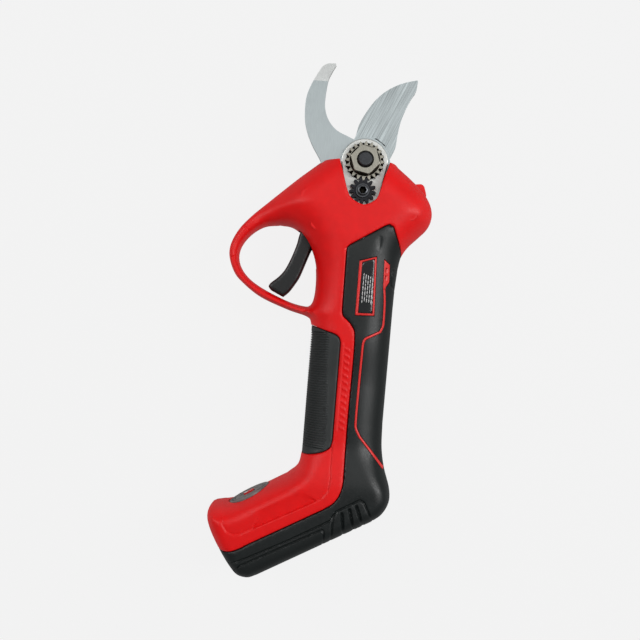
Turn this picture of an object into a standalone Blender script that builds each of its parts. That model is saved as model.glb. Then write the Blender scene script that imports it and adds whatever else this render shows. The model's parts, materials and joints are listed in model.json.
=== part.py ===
"""Battery electric pruner, modelled as an assembly of separate pieces.

The tool lies on its left side.  +Y runs along the handle towards the blades, +X towards the back
of the tool, and +Z up through the pivot, from the bolt head to the gear nut.  The origin is the
centre of the bolt head's flat face, on the surface that the tool lies on.  All sizes below are in
millimetres, and heights are measured from the tool's mid-plane; meshes are written in metres.
"""

from math import acos, asin, atan, cos, pi, radians, sin, tan

import bmesh
import bpy
import numpy as np
from mathutils import Matrix, Vector
from mathutils.geometry import delaunay_2d_cdt

MM = 0.001
GAP = 0.3                      # air between two pieces that touch on the real tool
PART_LINE = GAP / 2            # each housing half stops this far from the mid-plane

# Driving dimensions of the shell
HEAD_HALF = 24.0               # half thickness of the head, and height of the mid-plane
NECK_HALF = 21.5
HANDLE_HALF = 19.5
GUARD_HALF = 9.0
HEAD_ROUND = 20.0              # how far in from the outline the side is rounded
HANDLE_ROUND = 17.0
FOOT_ROUND = 9.0
GUARD_ROUND = 3.0
LAND = 1.0                     # straight height of the side at the parting line
WALL = 2.8
SHELL_STEP = 8.5               # spacing of the points along the shell's outline
ROW_DEPTHS = (1.2, 4.5, 11.0)
GRID = 13.0                    # spacing of the shell's inner points
SLIVER = 1e-3                  # a flat triangle with less than this area (mm2) is left out

# Cutting head, heights from the mid-plane
DRIVE_Z = -4.0                 # motor and bevel pinion axis
MOVING_BLADE_Z = (4.8, 7.8)
FIXED_BLADE_Z = (8.1, 11.1)
HEAD_PLATE_Z = (11.4, 13.4)
NUT_GEAR_Z = (13.7, 16.2)
NUT_TOP_Z = 21.0
BOLT_TOP_Z = 22.5
BOLT_HEAD_Z = (-HEAD_HALF, -18.5)
FRAME_Z = (-18.2, -14.0)
BOLT_RADIUS = 4.4
BOLT_HOLE = BOLT_RADIUS + GAP
BUSH_RADIUS = 6.0
HUB_RADIUS = 14.2
PLATE_RADIUS = 12.9
LOCK_GEAR_Y = -16.5
LOCK_SCREW_HOLE = 2.2
BLADE_SCREWS = ((-17.5, -19.5), (17.5, -19.5))
DRIVE_PIN_RADIUS = 1.0
DRIVE_PIN_PLACE = 7.95

# Gears
PRESSURE_ANGLE = radians(25)
ADDENDUM = 0.9
DEDENDUM = 1.2
NUT_TEETH = 20
LOCK_TEETH = 13
BEVEL_MODULE = 10.0 / 12.0
BEVEL_GEAR_TEETH = 36
BEVEL_PINION_TEETH = 12
BEVEL_FACE = 5.0
BEVEL_BACK_Z = 4.5
SECTOR = (-160.0, -80.0)       # the stretch of the bevel gear that has teeth, in degrees
PLANET_MODULE = 0.65
SUN_TEETH = 12
PLANET_TEETH = 12
RING_TEETH = 36
PLANET_COUNT = 3

# Motor and gearbox, measured from the pivot down the handle
SHAFT_RADIUS = 3.0
BEARING_A = (23.3, 26.7)
RING_A = (27.3, 46.0)
RING_RADIUS = 14.5
CARRIER_A = (30.0, 33.0)
PLANET_A = (33.3, 42.5)
CARRIER_PIN_END = 43.5
MOUNT_A = (46.3, 49.5)
CAN_A = (49.8, 92.0)
CAN_RADIUS = 13.0
STATOR_A = (54.0, 86.0)
MAGNET_A = (55.0, 85.0)
END_BELL_A = (92.3, 95.0)
ROTOR_SHAFT_RADIUS = 1.5

# Trigger
TRIGGER_PIVOT = (-23.5, -36.5)
TRIGGER_HALF = 5.5
TRIGGER_PIN_RADIUS = 1.5
TRIGGER_PIN_Z = (-11.2, 9.2)

# Foot: its long axis leans by this angle from +X, and its own axes are U along and N up
FOOT_ANGLE = radians(30.1)
CELL_RADIUS = 9.15
CELL_U = (-152.5, -87.5)
CELLS = ((-152.5, -9.3), (-152.5, 9.3), (-168.6, 0.0))
BUTTON_U = -139.0
TOE_TOP_N = -139.4
BEZEL_RADIUS = 12.3
BUTTON_RADIUS = 8.7
PORT_N = -167.0

SCREWS = ((-30.0, -22.0), (27.0, -28.0), (-2.0, -100.5), (-2.0, -159.0), (17.0, -186.0))


# ---------------------------------------------------------------------------------------------
# Outlines
# ---------------------------------------------------------------------------------------------

def curve(points, step):
    """Points about a step apart on a smooth curve through the given ones."""
    through = [np.array(p, float) for p in points]
    ends = [2 * through[0] - through[1]] + through + [2 * through[-1] - through[-2]]
    result = []
    for a, b, c, d in zip(ends, ends[1:], ends[2:], ends[3:]):
        count = max(1, round(float(np.linalg.norm(c - b)) / step))
        for k in range(count):
            t = k / count
            result.append(0.5 * (2 * b + (c - a) * t + (2 * a - 5 * b + 4 * c - d) * t * t
                                 + (3 * b - a - 3 * c + d) * t ** 3))
    result.append(through[-1])
    return [tuple(p) for p in result]


def arc(centre, radius, start, end, count):
    """Points on an arc, from one angle to another in degrees."""
    angles = np.radians(np.linspace(start, end, count))
    return [(centre[0] + radius * cos(a), centre[1] + radius * sin(a)) for a in angles]


def circle(centre, radius, count=24):
    return arc(centre, radius, 0, 360, count + 1)[:-1]


def hexagon(centre, across_corners, turn):
    return arc(centre, across_corners / 2, turn, turn + 360, 7)[:-1]


def shifted(points, distance):
    """An open run of points moved to its left by a distance."""
    p = np.array(points)
    along = np.gradient(p, axis=0)
    along /= np.linalg.norm(along, axis=1)[:, None]
    return [tuple(q) for q in p + distance * np.column_stack((-along[:, 1], along[:, 0]))]


def foot_point(u, n):
    """A point given along and across the foot."""
    return (u * cos(FOOT_ANGLE) - n * sin(FOOT_ANGLE), u * sin(FOOT_ANGLE) + n * cos(FOOT_ANGLE))


GUARD_OUTER = [(-33.1, -8.1), (-41.5, -15.6), (-53.7, -26.8), (-61.2, -34), (-67.4, -41.5),
               (-71.4, -50), (-71.8, -57.3), (-68.9, -65.2), (-64.4, -70.7), (-52.9, -78.8),
               (-36.9, -84.9), (-25.6, -88), (-22.9, -91), (-22.2, -98)]
TOE = [(-22.2, -164), (-24, -172.5), (-30, -178.5)]
TOE_LIP = [(-50.3, -190.4), (-58.5, -195), (-66, -196.7), (-71, -198.2), (-72.5, -203),
           (-70.4, -210), (-65.3, -219.3), (-58.6, -229), (-53.2, -234.3), (-46.5, -235.6),
           (-40.9, -233.5)]
HEEL = [(19.7, -199.5), (25.3, -194.9), (28.8, -187.9), (28.4, -180.4), (24.8, -169.4),
        (22.7, -158.5), (22.1, -145)]
BACK = [(22.7, -80), (23, -69), (23.8, -58), (25, -51), (28.5, -44.8), (33.8, -39.1),
        (38.7, -33.4), (40.6, -26.7), (39.1, -20), (34.6, -13.3), (27.3, -6.7), (19.6, -0.7)]
DOME = [(19.6, -0.7), (12, 8), (0, 12.5), (-13, 8), (-24, -0.4), (-33.1, -8.1)]
FINGER_HOLE = [(-44.5, -37.3), (-37.6, -38.1), (-31, -42.5), (-25.3, -51), (-22.3, -62),
               (-22, -75), (-24, -81.5), (-28.5, -82.2), (-37.9, -79.9), (-52, -73.9),
               (-60.9, -68), (-66, -60.5), (-66.1, -52.5), (-61.2, -44.6), (-53.5, -39),
               (-44.5, -37.3)]
COVER_BORDER = [[(26, -54.5), (24, -49), (19.7, -39.7), (17.9, -35.9), (15.9, -34.9), (13, -36.2)],
                [(-4.6, -47.4), (-5.9, -48.8), (-6.2, -51)],
                [(-6, -83), (-5.3, -86), (-3, -88)],
                [(-1, -89.9), (1.2, -93.2), (1.9, -97), (2.2, -110), (1.8, -142), (1.8, -170),
                 (1.6, -178), (0, -184), (-3, -188.4), (-8, -192)],
                [(-47, -213.8), (-52.3, -217), (-58, -219), (-66, -219.8), (-74, -219.5)]]
GRIP_BORDER = [[(-22.2, -92.7), (-14.1, -95.2), (-9.2, -96.6), (-6.7, -98.4), (-5.8, -101.3)],
               [(-6, -154.5), (-6.8, -158.1), (-9.6, -160.6), (-14.3, -162.5), (-22.2, -164.7)]]
WINDOW = [(-14.1, 6), (-13.9, 0), (-11.5, -8.3), (-8.2, -18.4), (-5.4, -22.4), (1, -25),
          (6.7, -22.2), (8.7, -18.7), (10.9, -9.5), (13.7, -0.9), (14.1, 6)]
HOOK_OUTER = [(-20.2, 54), (-25.3, 53.3), (-29, 49.1), (-34.6, 35.9), (-35.2, 24), (-33.6, 16),
              (-29.9, 7.7), (-24.5, -1), (-21.8, -9), (-21.7, -18)]
HOOK_INNER = [(-7, 12.4), (-11.1, 14.1), (-16, 16.2), (-19.9, 19.5), (-23.1, 24.7),
              (-24.5, 31.8), (-23.9, 43.4), (-22.3, 48.8), (-19.8, 52.8)]
CUTTING_EDGE = [(-12.5, 2), (-9.5, 8.2), (-6.1, 14.5), (-4.7, 20.8), (-1.6, 27.7), (2.7, 34.7),
                (8.3, 40.7), (15.3, 45.2), (21.2, 47.5), (26.2, 48.8)]
BLADE_BACK = [(26.5, 47.8), (25.8, 42.3), (23.7, 38.5), (21.1, 32.5), (18.7, 25), (17.5, 18),
              (16.8, 10.3), (15.3, 6.2), (13, 1.5)]
TRIGGER = [(-19.5, -36.5), (-20.8, -41), (-23.6, -46), (-25.9, -50.5), (-28.2, -57), (-31.2, -65.7),
           (-33.6, -70.2), (-36.6, -74.8), (-39.9, -78)]
TRIGGER_FRONT = [(-46.4, -75), (-48.2, -73), (-47.4, -70.8), (-43, -66.8), (-39.7, -62.4),
                 (-36.7, -55.5), (-34.2, -47.7), (-32.9, -41.5), (-29.5, -36.5), (-26.5, -33.6)]
TRIM = [[(16.5, -71.4), (17.2, -82), (17.3, -89.7), (15.6, -93.4)],
        [(8.1, -97.4), (6.7, -99.7), (6.4, -108), (6.1, -129), (6, -142), (6.4, -147), (8.8, -151.5)],
        [(15.3, -158.8), (21.4, -166)]]
TRIM_BADGE = [(14.6, -53.9), (17.8, -56.4), (18.3, -66.7), (17.2, -69.2), (15.9, -70.6),
              (15.0, -67.5)]
LABEL_FRAME = [(1.0, -55.7), (10.3, -52.8), (11.5, -84.8), (1.0, -85.3)]
LABEL = [(2.7, -56.7), (9.2, -54.4), (10.3, -83.3), (2.6, -83.6)]
LUG = [(25, -10), (28.4, -6.2), (31, -5.3), (33.3, -6.2), (36.2, -13.7), (35.5, -17), (30, -15)]


def joined(pieces, step):
    """Smooth curves joined by straight runs, with a point at least every step."""
    points = [p for piece in pieces for p in curve(piece, step)]
    result = []
    for a, b in zip(points, points[1:]):
        count = max(1, round(float(np.hypot(b[0] - a[0], b[1] - a[1])) / step))
        result += [(mix(a[0], b[0], k / count), mix(a[1], b[1], k / count)) for k in range(count)]
    return result + [points[-1]]


def mix(a, b, t):
    return a + (b - a) * t


# The head's dome carries on over the blades here, and the mouth is cut out of it
SHELL_LOOP = joined((DOME[:-1], GUARD_OUTER, TOE, TOE_LIP, HEEL, BACK), SHELL_STEP)[:-1]
HOLE_LOOP = curve(FINGER_HOLE, SHELL_STEP * 0.8)[:-1]


# ---------------------------------------------------------------------------------------------
# The shell's shape
# ---------------------------------------------------------------------------------------------

def edge_distance(points, loops):
    """Distance from each point to the nearest edge of closed loops."""
    p = np.asarray(points, float)
    nearest = np.full(len(p), 1e9)
    for loop in loops:
        a = np.array(loop)
        ab = np.roll(a, -1, axis=0) - a
        ap = p[:, None, :] - a[None, :, :]
        t = np.clip((ap * ab).sum(2) / (ab * ab).sum(1), 0, 1)
        nearest = np.minimum(nearest, np.linalg.norm(ap - t[:, :, None] * ab, axis=2).min(1))
    return nearest


def inside(points, loop):
    """Whether each point is inside a closed loop."""
    p = np.asarray(points, float)
    a = np.array(loop)
    b = np.roll(a, -1, axis=0)
    x, y = p[:, 0][:, None], p[:, 1][:, None]
    crosses = (a[:, 1] > y) != (b[:, 1] > y)
    rise = np.where(b[:, 1] == a[:, 1], 1e-9, b[:, 1] - a[:, 1])
    return (crosses & (x < a[:, 0] + (y - a[:, 1]) * (b[:, 0] - a[:, 0]) / rise)).sum(1) % 2 == 1


def ease(value, low, high):
    """0 below low, 1 above high, and smooth between."""
    t = np.clip((value - low) / (high - low), 0, 1)
    return t * t * (3 - 2 * t)


def shell_height(points, inset=0.0):
    """Half thickness of the shell at each point, with its rounded sides."""
    p = np.asarray(points, float)
    x, y = p[:, 0], p[:, 1]
    neck, handle, foot = ease(-y, 40, 95), ease(-y, 95, 125), ease(-y, 155, 182)
    half = mix(mix(mix(HEAD_HALF, NECK_HALF, neck), HANDLE_HALF, handle), HEAD_HALF, foot)
    rounding = mix(mix(HEAD_ROUND, HANDLE_ROUND, neck), FOOT_ROUND, foot)
    low_side = ease(-y, 50, 78)
    start, end = mix(-30.0, -23.5, low_side), mix(-60.0, -40.0, low_side)
    guard = ease(start - x, 0, start - end) * ease(y, -150, -120)
    half, rounding = mix(half, GUARD_HALF, guard), mix(rounding, GUARD_ROUND, guard)
    depth = np.clip((edge_distance(p, (SHELL_LOOP, HOLE_LOOP)) - inset) / rounding, 0, 1)
    side = 1 - (1 - depth) ** 2.3
    return LAND + (half - LAND - inset) * side ** (1 / 2.3)


def height_at(x, y):
    return float(shell_height([(x, y)])[0])


# ---------------------------------------------------------------------------------------------
# Solids
# ---------------------------------------------------------------------------------------------

def material(name, colour, roughness, metallic=0.0):
    made = bpy.data.materials.get(name) or bpy.data.materials.new(name)
    made.use_nodes = True
    shader = made.node_tree.nodes["Principled BSDF"]
    shader.inputs["Base Color"].default_value = (*colour, 1)
    shader.inputs["Roughness"].default_value = roughness
    shader.inputs["Metallic"].default_value = metallic
    return made


MATERIALS = {
    "red_plastic": ((0.75, 0.02, 0.02), 0.45, 0.0),
    "black_rubber": ((0.03, 0.035, 0.035), 0.75, 0.0),
    "black_plastic": ((0.03, 0.03, 0.032), 0.45, 0.0),
    "grey_plastic": ((0.35, 0.35, 0.35), 0.5, 0.0),
    "label_face": ((0.02, 0.02, 0.022), 0.2, 0.0),
    "blade_steel": ((0.45, 0.5, 0.51), 0.35, 1.0),
    "plate_steel": ((0.6, 0.6, 0.6), 0.35, 1.0),
    "nut_steel": ((0.22, 0.2, 0.15), 0.4, 1.0),
    "black_steel": ((0.03, 0.03, 0.032), 0.4, 1.0),
    "bright_steel": ((0.6, 0.6, 0.62), 0.25, 1.0),
    "cast_alloy": ((0.45, 0.46, 0.47), 0.55, 1.0),
    "bronze": ((0.5, 0.33, 0.14), 0.4, 1.0),
    "copper": ((0.6, 0.25, 0.12), 0.4, 1.0),
    "board_green": ((0.02, 0.15, 0.06), 0.5, 0.0),
    "cell_wrap": ((0.05, 0.2, 0.5), 0.4, 0.0),
    "clear_lens": ((0.8, 0.1, 0.1), 0.15, 0.0),
}


def solid(name, mesh_bm, slot):
    """An object on the tool's mid-plane from a bmesh in millimetres."""
    bmesh.ops.remove_doubles(mesh_bm, verts=mesh_bm.verts, dist=1e-4)
    bmesh.ops.recalc_face_normals(mesh_bm, faces=mesh_bm.faces)
    bmesh.ops.scale(mesh_bm, vec=(MM, MM, MM), verts=mesh_bm.verts)
    mesh = bpy.data.meshes.new(name)
    mesh_bm.to_mesh(mesh)
    mesh_bm.free()
    mesh.materials.append(material(slot, *MATERIALS[slot]))
    mesh.shade_smooth()
    mesh.set_sharp_from_angle(angle=radians(30))
    item = bpy.data.objects.new(name, mesh)
    bpy.context.collection.objects.link(item)
    item.location = (0, 0, HEAD_HALF * MM)
    return item


def on_z(value, points):
    return value(points) if callable(value) else np.full(len(points), float(value))


def slab(name, loops, bottom, top, slot="red_plastic", fill=()):
    """A closed solid over a flat outline with holes, between two heights or height functions.

    loops[0] is the outline and the others are holes; fill lists inner points of the surfaces.
    """
    points = [p for loop in loops for p in loop]
    edges, first = [], 0
    for loop in loops:
        edges += [(first + k, first + (k + 1) % len(loop)) for k in range(len(loop))]
        first += len(loop)
    extra = np.array(fill, float).reshape(-1, 2)
    if len(extra):
        keep = inside(extra, loops[0]) & (edge_distance(extra, loops) > 0.7)
        for loop in loops[1:]:
            keep &= ~inside(extra, loop)
        points += [tuple(p) for p in extra[keep]]
    flat, _, faces, *_ = delaunay_2d_cdt([Vector(p) for p in points], edges, [], 0, 1e-5)
    flat = np.array([tuple(p) for p in flat])
    corners = flat[np.array([list(face) for face in faces])]
    centres = corners.mean(1)
    (ux, uy), (vx, vy) = (corners[:, 1] - corners[:, 0]).T, (corners[:, 2] - corners[:, 0]).T
    keep = inside(centres, loops[0]) & (np.abs(ux * vy - uy * vx) > SLIVER)
    for loop in loops[1:]:
        keep &= ~inside(centres, loop)
    low, high = on_z(bottom, flat), on_z(top, flat)
    made = bmesh.new()
    lower = [made.verts.new((*p, z)) for p, z in zip(flat, low)]
    upper = [made.verts.new((*p, z)) for p, z in zip(flat, high)]
    borders = {}
    for face, kept in zip(faces, keep):
        if not kept:
            continue
        made.faces.new([upper[k] for k in face])
        made.faces.new([lower[k] for k in reversed(face)])
        for a, b in zip(face, face[1:] + face[:1]):
            borders.pop((b, a), None) or borders.update({(a, b): True})
    for a, b in borders:
        made.faces.new((lower[a], lower[b], upper[b], upper[a]))
    bmesh.ops.delete(made, geom=[v for v in made.verts if not v.link_faces], context="VERTS")
    return solid(name, made, slot)


def loft(name, rings, slot, ring_ends=False):
    """A closed solid through rings of points; it closes on itself, or has a cap on each end."""
    made = bmesh.new()
    levels = [[made.verts.new(p) for p in ring] for ring in rings]
    pairs = list(zip(levels, levels[1:] + levels[:1]))
    for a, b in pairs if ring_ends else pairs[:-1]:
        for k in range(len(a)):
            j = (k + 1) % len(a)
            made.faces.new((a[k], a[j], b[j], b[k]))
    if not ring_ends:
        for level in (levels[0], levels[-1]):
            centre = made.verts.new(sum((v.co for v in level), Vector()) / len(level))
            for k in range(len(level)):
                made.faces.new((level[k], level[(k + 1) % len(level)], centre))
    return solid(name, made, slot)


def turned(name, profile, slot, count=20, bored=False):
    """A solid of revolution about Z from (radius, height) points; bored leaves a hole."""
    rings = [[(*p, z) for p in circle((0, 0), radius, count)] for radius, z in profile]
    return loft(name, rings, slot, ring_ends=bored)


def tube(name, outer, inner, low, high, slot, count=20):
    profile = ((outer, low), (outer, high), (inner, high), (inner, low))
    return turned(name, profile, slot, count, bored=True)


def box(name, low, high, slot="red_plastic"):
    x0, y0, z0 = low
    x1, y1, z1 = high
    return slab(name, [[(x0, y0), (x1, y0), (x1, y1), (x0, y1)]], z0, z1, slot)


def to_drive_axis(item):
    """Turn a piece so that its own Z runs from the pivot down the handle on the drive axis."""
    item.rotation_euler = (pi / 2, 0, 0)
    item.location.z += DRIVE_Z * MM
    return item


def to_foot_axis(item, u, n, z=0.0):
    """Turn a piece so that its own Z runs along the foot from a given place."""
    x, y = foot_point(u, n)
    turn = Matrix.Rotation(FOOT_ANGLE, 4, "Z") @ Matrix.Rotation(pi / 2, 4, "Y")
    item.matrix_world = Matrix.Translation((x * MM, y * MM, (HEAD_HALF + z) * MM)) @ turn
    return item


def to_foot_top(item, u, n):
    """Turn a piece so that its own Z stands out of the foot's top face."""
    x, y = foot_point(u, n)
    turn = Matrix.Rotation(FOOT_ANGLE, 4, "Z") @ Matrix.Rotation(-pi / 2, 4, "X")
    item.matrix_world = Matrix.Translation((x * MM, y * MM, HEAD_HALF * MM)) @ turn
    return item


def move_to(item, x, y, z=0.0):
    item.location = (x * MM, y * MM, (HEAD_HALF + z) * MM)
    return item


def cut(item, *tools, operation="DIFFERENCE"):
    """Cut helper solids out of a piece, or join or intersect them with it.

    EXACT leaves open edges on the shells and the head frame, so they use MANIFOLD.
    """
    needs_manifold = item.name.startswith(("housing_left", "housing_right", "rear_cover", "head_f"))
    for tool in tools:
        tool.hide_render = True
        tool.display_type = "WIRE"
        change = item.modifiers.new(tool.name, "BOOLEAN")
        change.object = tool
        change.operation = operation
        change.solver = "MANIFOLD" if needs_manifold else "EXACT"
    return item


def join(item, *tools):
    return cut(item, *tools, operation="UNION")


# ---------------------------------------------------------------------------------------------
# Gears
# ---------------------------------------------------------------------------------------------

def involute(angle):
    return tan(angle) - angle


def tooth_half_angle(radius, pitch_radius, teeth, thinning):
    """Half the angle that a tooth fills at a radius."""
    base = pitch_radius * cos(PRESSURE_ANGLE)
    there = acos(min(1.0, base / max(radius, base)))
    at_pitch = pi / (2 * teeth) - thinning / (2 * pitch_radius)
    return at_pitch + involute(PRESSURE_ANGLE) - involute(there)


def gear_loop(teeth, module, phase, thinning=0.12, out=ADDENDUM, inward=DEDENDUM):
    """Outline of a spur gear with a tooth centred on the phase angle, in degrees."""
    pitch_radius = teeth * module / 2
    radii = (pitch_radius - inward * module, pitch_radius, pitch_radius + out * module)
    halves = [tooth_half_angle(r, pitch_radius, teeth, thinning) for r in radii]
    loop = []
    for k in range(teeth):
        middle = radians(phase) + 2 * pi * k / teeth
        flank = [(r, middle - h) for r, h in zip(radii, halves)]
        other = [(r, middle + h) for r, h in zip(reversed(radii), reversed(halves))]
        loop += [(r * cos(a), r * sin(a)) for r, a in flank + other]
    return loop


def bevel_stations(teeth, mate_teeth, phase, first, last, thinning=0.14):
    """(radius, axial, angle) of a bevel gear's outer tooth outline, for a run of teeth."""
    cone = atan(teeth / mate_teeth)
    pitch_radius = teeth * BEVEL_MODULE / 2
    axial = mate_teeth * BEVEL_MODULE / 2
    formative = pitch_radius / cos(cone)
    steps = (-DEDENDUM * BEVEL_MODULE, 0.0, ADDENDUM * BEVEL_MODULE)
    halves = [tooth_half_angle(formative + s, formative, teeth / cos(cone), thinning) / cos(cone)
              for s in steps]
    stations = []
    for k in range(first, last):
        middle = radians(phase) + 2 * pi * k / teeth
        flank = [(s, middle - h) for s, h in zip(steps, halves)]
        other = [(s, middle + h) for s, h in zip(reversed(steps), reversed(halves))]
        stations += [(pitch_radius + s * cos(cone), axial - s * sin(cone), a)
                     for s, a in flank + other]
    return stations


def polar(radius, angle, height):
    return (radius * cos(angle), radius * sin(angle), height)


BEVEL_CONE = BEVEL_MODULE / 2 * (BEVEL_GEAR_TEETH ** 2 + BEVEL_PINION_TEETH ** 2) ** 0.5
BEVEL_INNER = 1 - BEVEL_FACE / BEVEL_CONE      # size of a tooth's inner end next to its outer


def bevel_gear():
    """The toothed sector under the moving blade, with its hub; its space faces the pinion."""
    pitch = 360 / BEVEL_GEAR_TEETH
    count = int((SECTOR[1] - SECTOR[0]) / pitch)
    stations = bevel_stations(BEVEL_GEAR_TEETH, BEVEL_PINION_TEETH, -90 + pitch / 2,
                              1 - count, 1)
    back = BEVEL_BACK_Z - DRIVE_Z
    rows = [[polar(r, a, h), polar(r * BEVEL_INNER, a, h * BEVEL_INNER), polar(9.0, a, back),
             polar(16.2, a, back)] for r, h, a in stations]
    gear = loft("bevel_gear", rows, "black_steel")
    gear.location.z += DRIVE_Z * MM
    hub = tube("bevel_gear_hub", 9.6, BUSH_RADIUS + GAP, 0.6, BEVEL_BACK_Z, "black_steel")
    join(gear, hub)
    return cut(gear, bush_hole("gear_bush_hole"), *pin_holes("gear"))


def bush_hole(name):
    return turned(name, ((BUSH_RADIUS + GAP, -10), (BUSH_RADIUS + GAP, 10)), "black_steel")


def pin_holes(owner):
    holes = []
    for k, side in enumerate((-1, 1)):
        hole = turned(f"{owner}_pin_hole_{k}", ((DRIVE_PIN_RADIUS + GAP, -5),
                      (DRIVE_PIN_RADIUS + GAP, 10)), "black_steel", 12)
        holes.append(move_to(hole, 0, side * DRIVE_PIN_PLACE))
    return holes


def bevel_pinion():
    """The pinion and its shaft in one piece; its top tooth sits in the sector's space."""
    stations = bevel_stations(BEVEL_PINION_TEETH, BEVEL_GEAR_TEETH, 90, 0, BEVEL_PINION_TEETH)
    rings = [[polar(r * BEVEL_INNER, a, h * BEVEL_INNER) for r, h, a in stations],
             [polar(r, a, h) for r, h, a in stations],
             [polar(SHAFT_RADIUS, a, 16.5) for _, _, a in stations],
             [polar(SHAFT_RADIUS, a, CARRIER_A[1]) for _, _, a in stations]]
    return to_drive_axis(loft("bevel_pinion", rings, "bright_steel"))


# ---------------------------------------------------------------------------------------------
# Shell pieces
# ---------------------------------------------------------------------------------------------

def shell_rows(depths, spacing):
    """Inner points of the shell: rows that follow its outline, then an even grid."""
    loops = (SHELL_LOOP, HOLE_LOOP)
    found = []
    for depth in depths:
        rows = np.array(shifted(SHELL_LOOP + SHELL_LOOP[:1], depth)
                        + shifted(HOLE_LOOP + HOLE_LOOP[:1], depth))
        found.append(rows[edge_distance(rows, loops) > 0.97 * depth])
    xs, ys = np.arange(-75, 45, spacing), np.arange(-240, 20, spacing * 0.87)
    grid = np.array([(x + (k % 2) * spacing / 2, y) for k, y in enumerate(ys) for x in xs])
    found.append(grid[edge_distance(grid, loops) > depths[-1] + spacing * 0.5])
    return np.concatenate(found)


SHELL_ROWS = shell_rows(ROW_DEPTHS, GRID)
CORE = [DOME[:4] + [(-24.2, -0.1), (-36, -12), (-41, -20), (-42, -32), (-38, -39)],
        [(-31, -43.2), (-25.5, -51), (-22.3, -62), (-22, -75)], TOE, TOE_LIP, HEEL, BACK]
CORE_LOOP = joined(CORE, SHELL_STEP)[:-1]


def half(name, side, outer, loops, base, slot="red_plastic", fill=SHELL_ROWS):
    """A solid on one side of the mid-plane, from a base height up to a height function."""
    def mirrored(points):
        return side * outer(points)
    bounds = (base, mirrored) if side > 0 else (mirrored, -base)
    return slab(name, loops, *bounds, slot, fill)


def blank(name, side, slot):
    """One half of the whole body before it is hollowed."""
    return half(name, side, shell_height, [SHELL_LOOP, HOLE_LOOP], PART_LINE, slot)


def cavity(name, side):
    """The room inside one half."""
    loop = shifted(CORE_LOOP + CORE_LOOP[:1], WALL)[:-1]
    keep = edge_distance(loop, [CORE_LOOP]) > 0.97 * WALL
    loop = [p for p, kept in zip(loop, keep) if kept]
    return half(name, side, lambda p: shell_height(p, WALL), [loop], -5.0)


def prism(name, loop, low, high):
    return slab(name, [loop], low, high)


def cover_prism(name, grow):
    border = shifted(joined(COVER_BORDER, SHELL_STEP), -grow)
    outside = [(-85, -219.5), (-85, -260), (70, -260), (70, -54.5)]
    return prism(name, border + outside, -40, 40)


def grip_prism(name, grow):
    border = shifted(joined(GRIP_BORDER, SHELL_STEP), grow)
    return prism(name, border + [(-40, -164.7 - grow), (-40, -92.7 + grow)], -40, 40)


def mouth_cutters(owner, side):
    """Everything that opens the head at the blades, for one half."""
    above = [(-60, -1.2), (60, 1.2), (60, 60), (-60, 60)]
    slot = [(-45, -9), (16, -9), (16, 40), (-45, 40)]
    window = curve(WINDOW, SHELL_STEP)
    outward = (FIXED_BLADE_Z[0], 40) if side > 0 else (-40, -10)
    tools = [prism(f"{owner}_mouth", above, -40, 40),
             prism(f"{owner}_window", window, *outward),
             turned(f"{owner}_hub_room", ((HUB_RADIUS + 0.6, -19), (HUB_RADIUS + 0.6, 12.5)),
                    "red_plastic", 32)]
    if side > 0:
        tools.append(prism(f"{owner}_blade_slot", slot, MOVING_BLADE_Z[0] - GAP, 11.5))
    return tools


def trigger_slot(owner):
    room = [(-44, -37.5), (-34, -36.5), (-29, -33), (-18, -33), (-18, -60), (-27, -62), (-44, -50)]
    return prism(f"{owner}_trigger_slot", room, -TRIGGER_HALF - 0.8, TRIGGER_HALF + 0.8)


def screw_levels(place):
    """Heights of a housing screw's head, outer and inner face, on the far side."""
    outer = -(height_at(*place) - 1.5)
    return outer, outer + 2.4


def boss(name, place, radius, low, high, slot="red_plastic"):
    return move_to(turned(name, ((radius, low), (radius, high)), slot, 16), *place)


def screw_bosses(owner, side, screws, slot):
    """Columns that the housing screws pull together."""
    posts = []
    for k, place in enumerate(screws):
        top = height_at(*place) - 1.2
        low, high = (PART_LINE, top) if side > 0 else (-top, -PART_LINE)
        posts.append(boss(f"{owner}_boss_{k}", place, 3.6, low, high, slot))
    return posts


def screw_holes(owner, side, screws):
    """Blind pilot holes on the near half; clearance holes and head pockets on the far half."""
    holes = []
    for k, place in enumerate(screws):
        if side > 0:
            holes.append(boss(f"{owner}_pilot_{k}", place, 1.5, -3, 11))
            continue
        _, under_head = screw_levels(place)
        holes.append(boss(f"{owner}_clear_{k}", place, 1.5, -23, 3))
        holes.append(boss(f"{owner}_pocket_{k}", place, 3.1, -40, under_head + GAP))
    return holes


def button_hole(owner):
    """The opening in the toe for the power button's bezel."""
    hole = turned(f"{owner}_button_hole", ((BEZEL_RADIUS + GAP, -6), (BEZEL_RADIUS + GAP, 6)),
                  "red_plastic", 32)
    return to_foot_top(hole, BUTTON_U, TOE_TOP_N)


def port_hole(owner):
    """The opening in the base for the charging port."""
    hole = prism(f"{owner}_port_hole", [(-6.3, -4.8), (6.3, -4.8), (6.3, 4.8), (-6.3, 4.8)], -6, 6)
    return to_foot_axis(hole, -163.5, PORT_N)


def housing(side, name):
    """One red half: head, guard, the strip down the handle, and the toe."""
    shell = blank(name, side, "red_plastic")
    cut(shell, cavity(f"{name}_cavity", side))
    red_screws = SCREWS[:4]
    join(shell, *screw_bosses(name, side, red_screws, "red_plastic"))
    lug_levels = (PART_LINE, 4.0) if side > 0 else (-4.0, -PART_LINE)
    lug = prism(f"{name}_lug", LUG, *lug_levels)
    pin_levels = (6.2, 20.0) if side > 0 else (-20.0, -9.5)
    join(shell, lug, boss(f"{name}_pin_boss", TRIGGER_PIVOT, 3.6, *pin_levels))
    cut(shell, *mouth_cutters(name, side), trigger_slot(name), cover_prism(f"{name}_cover", GAP),
        grip_prism(f"{name}_grip", GAP), *screw_holes(name, side, red_screws),
        boss(f"{name}_pin_hole", TRIGGER_PIVOT, TRIGGER_PIN_RADIUS + GAP, -11.5, 9.5),
        button_hole(name))
    return shell


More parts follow.
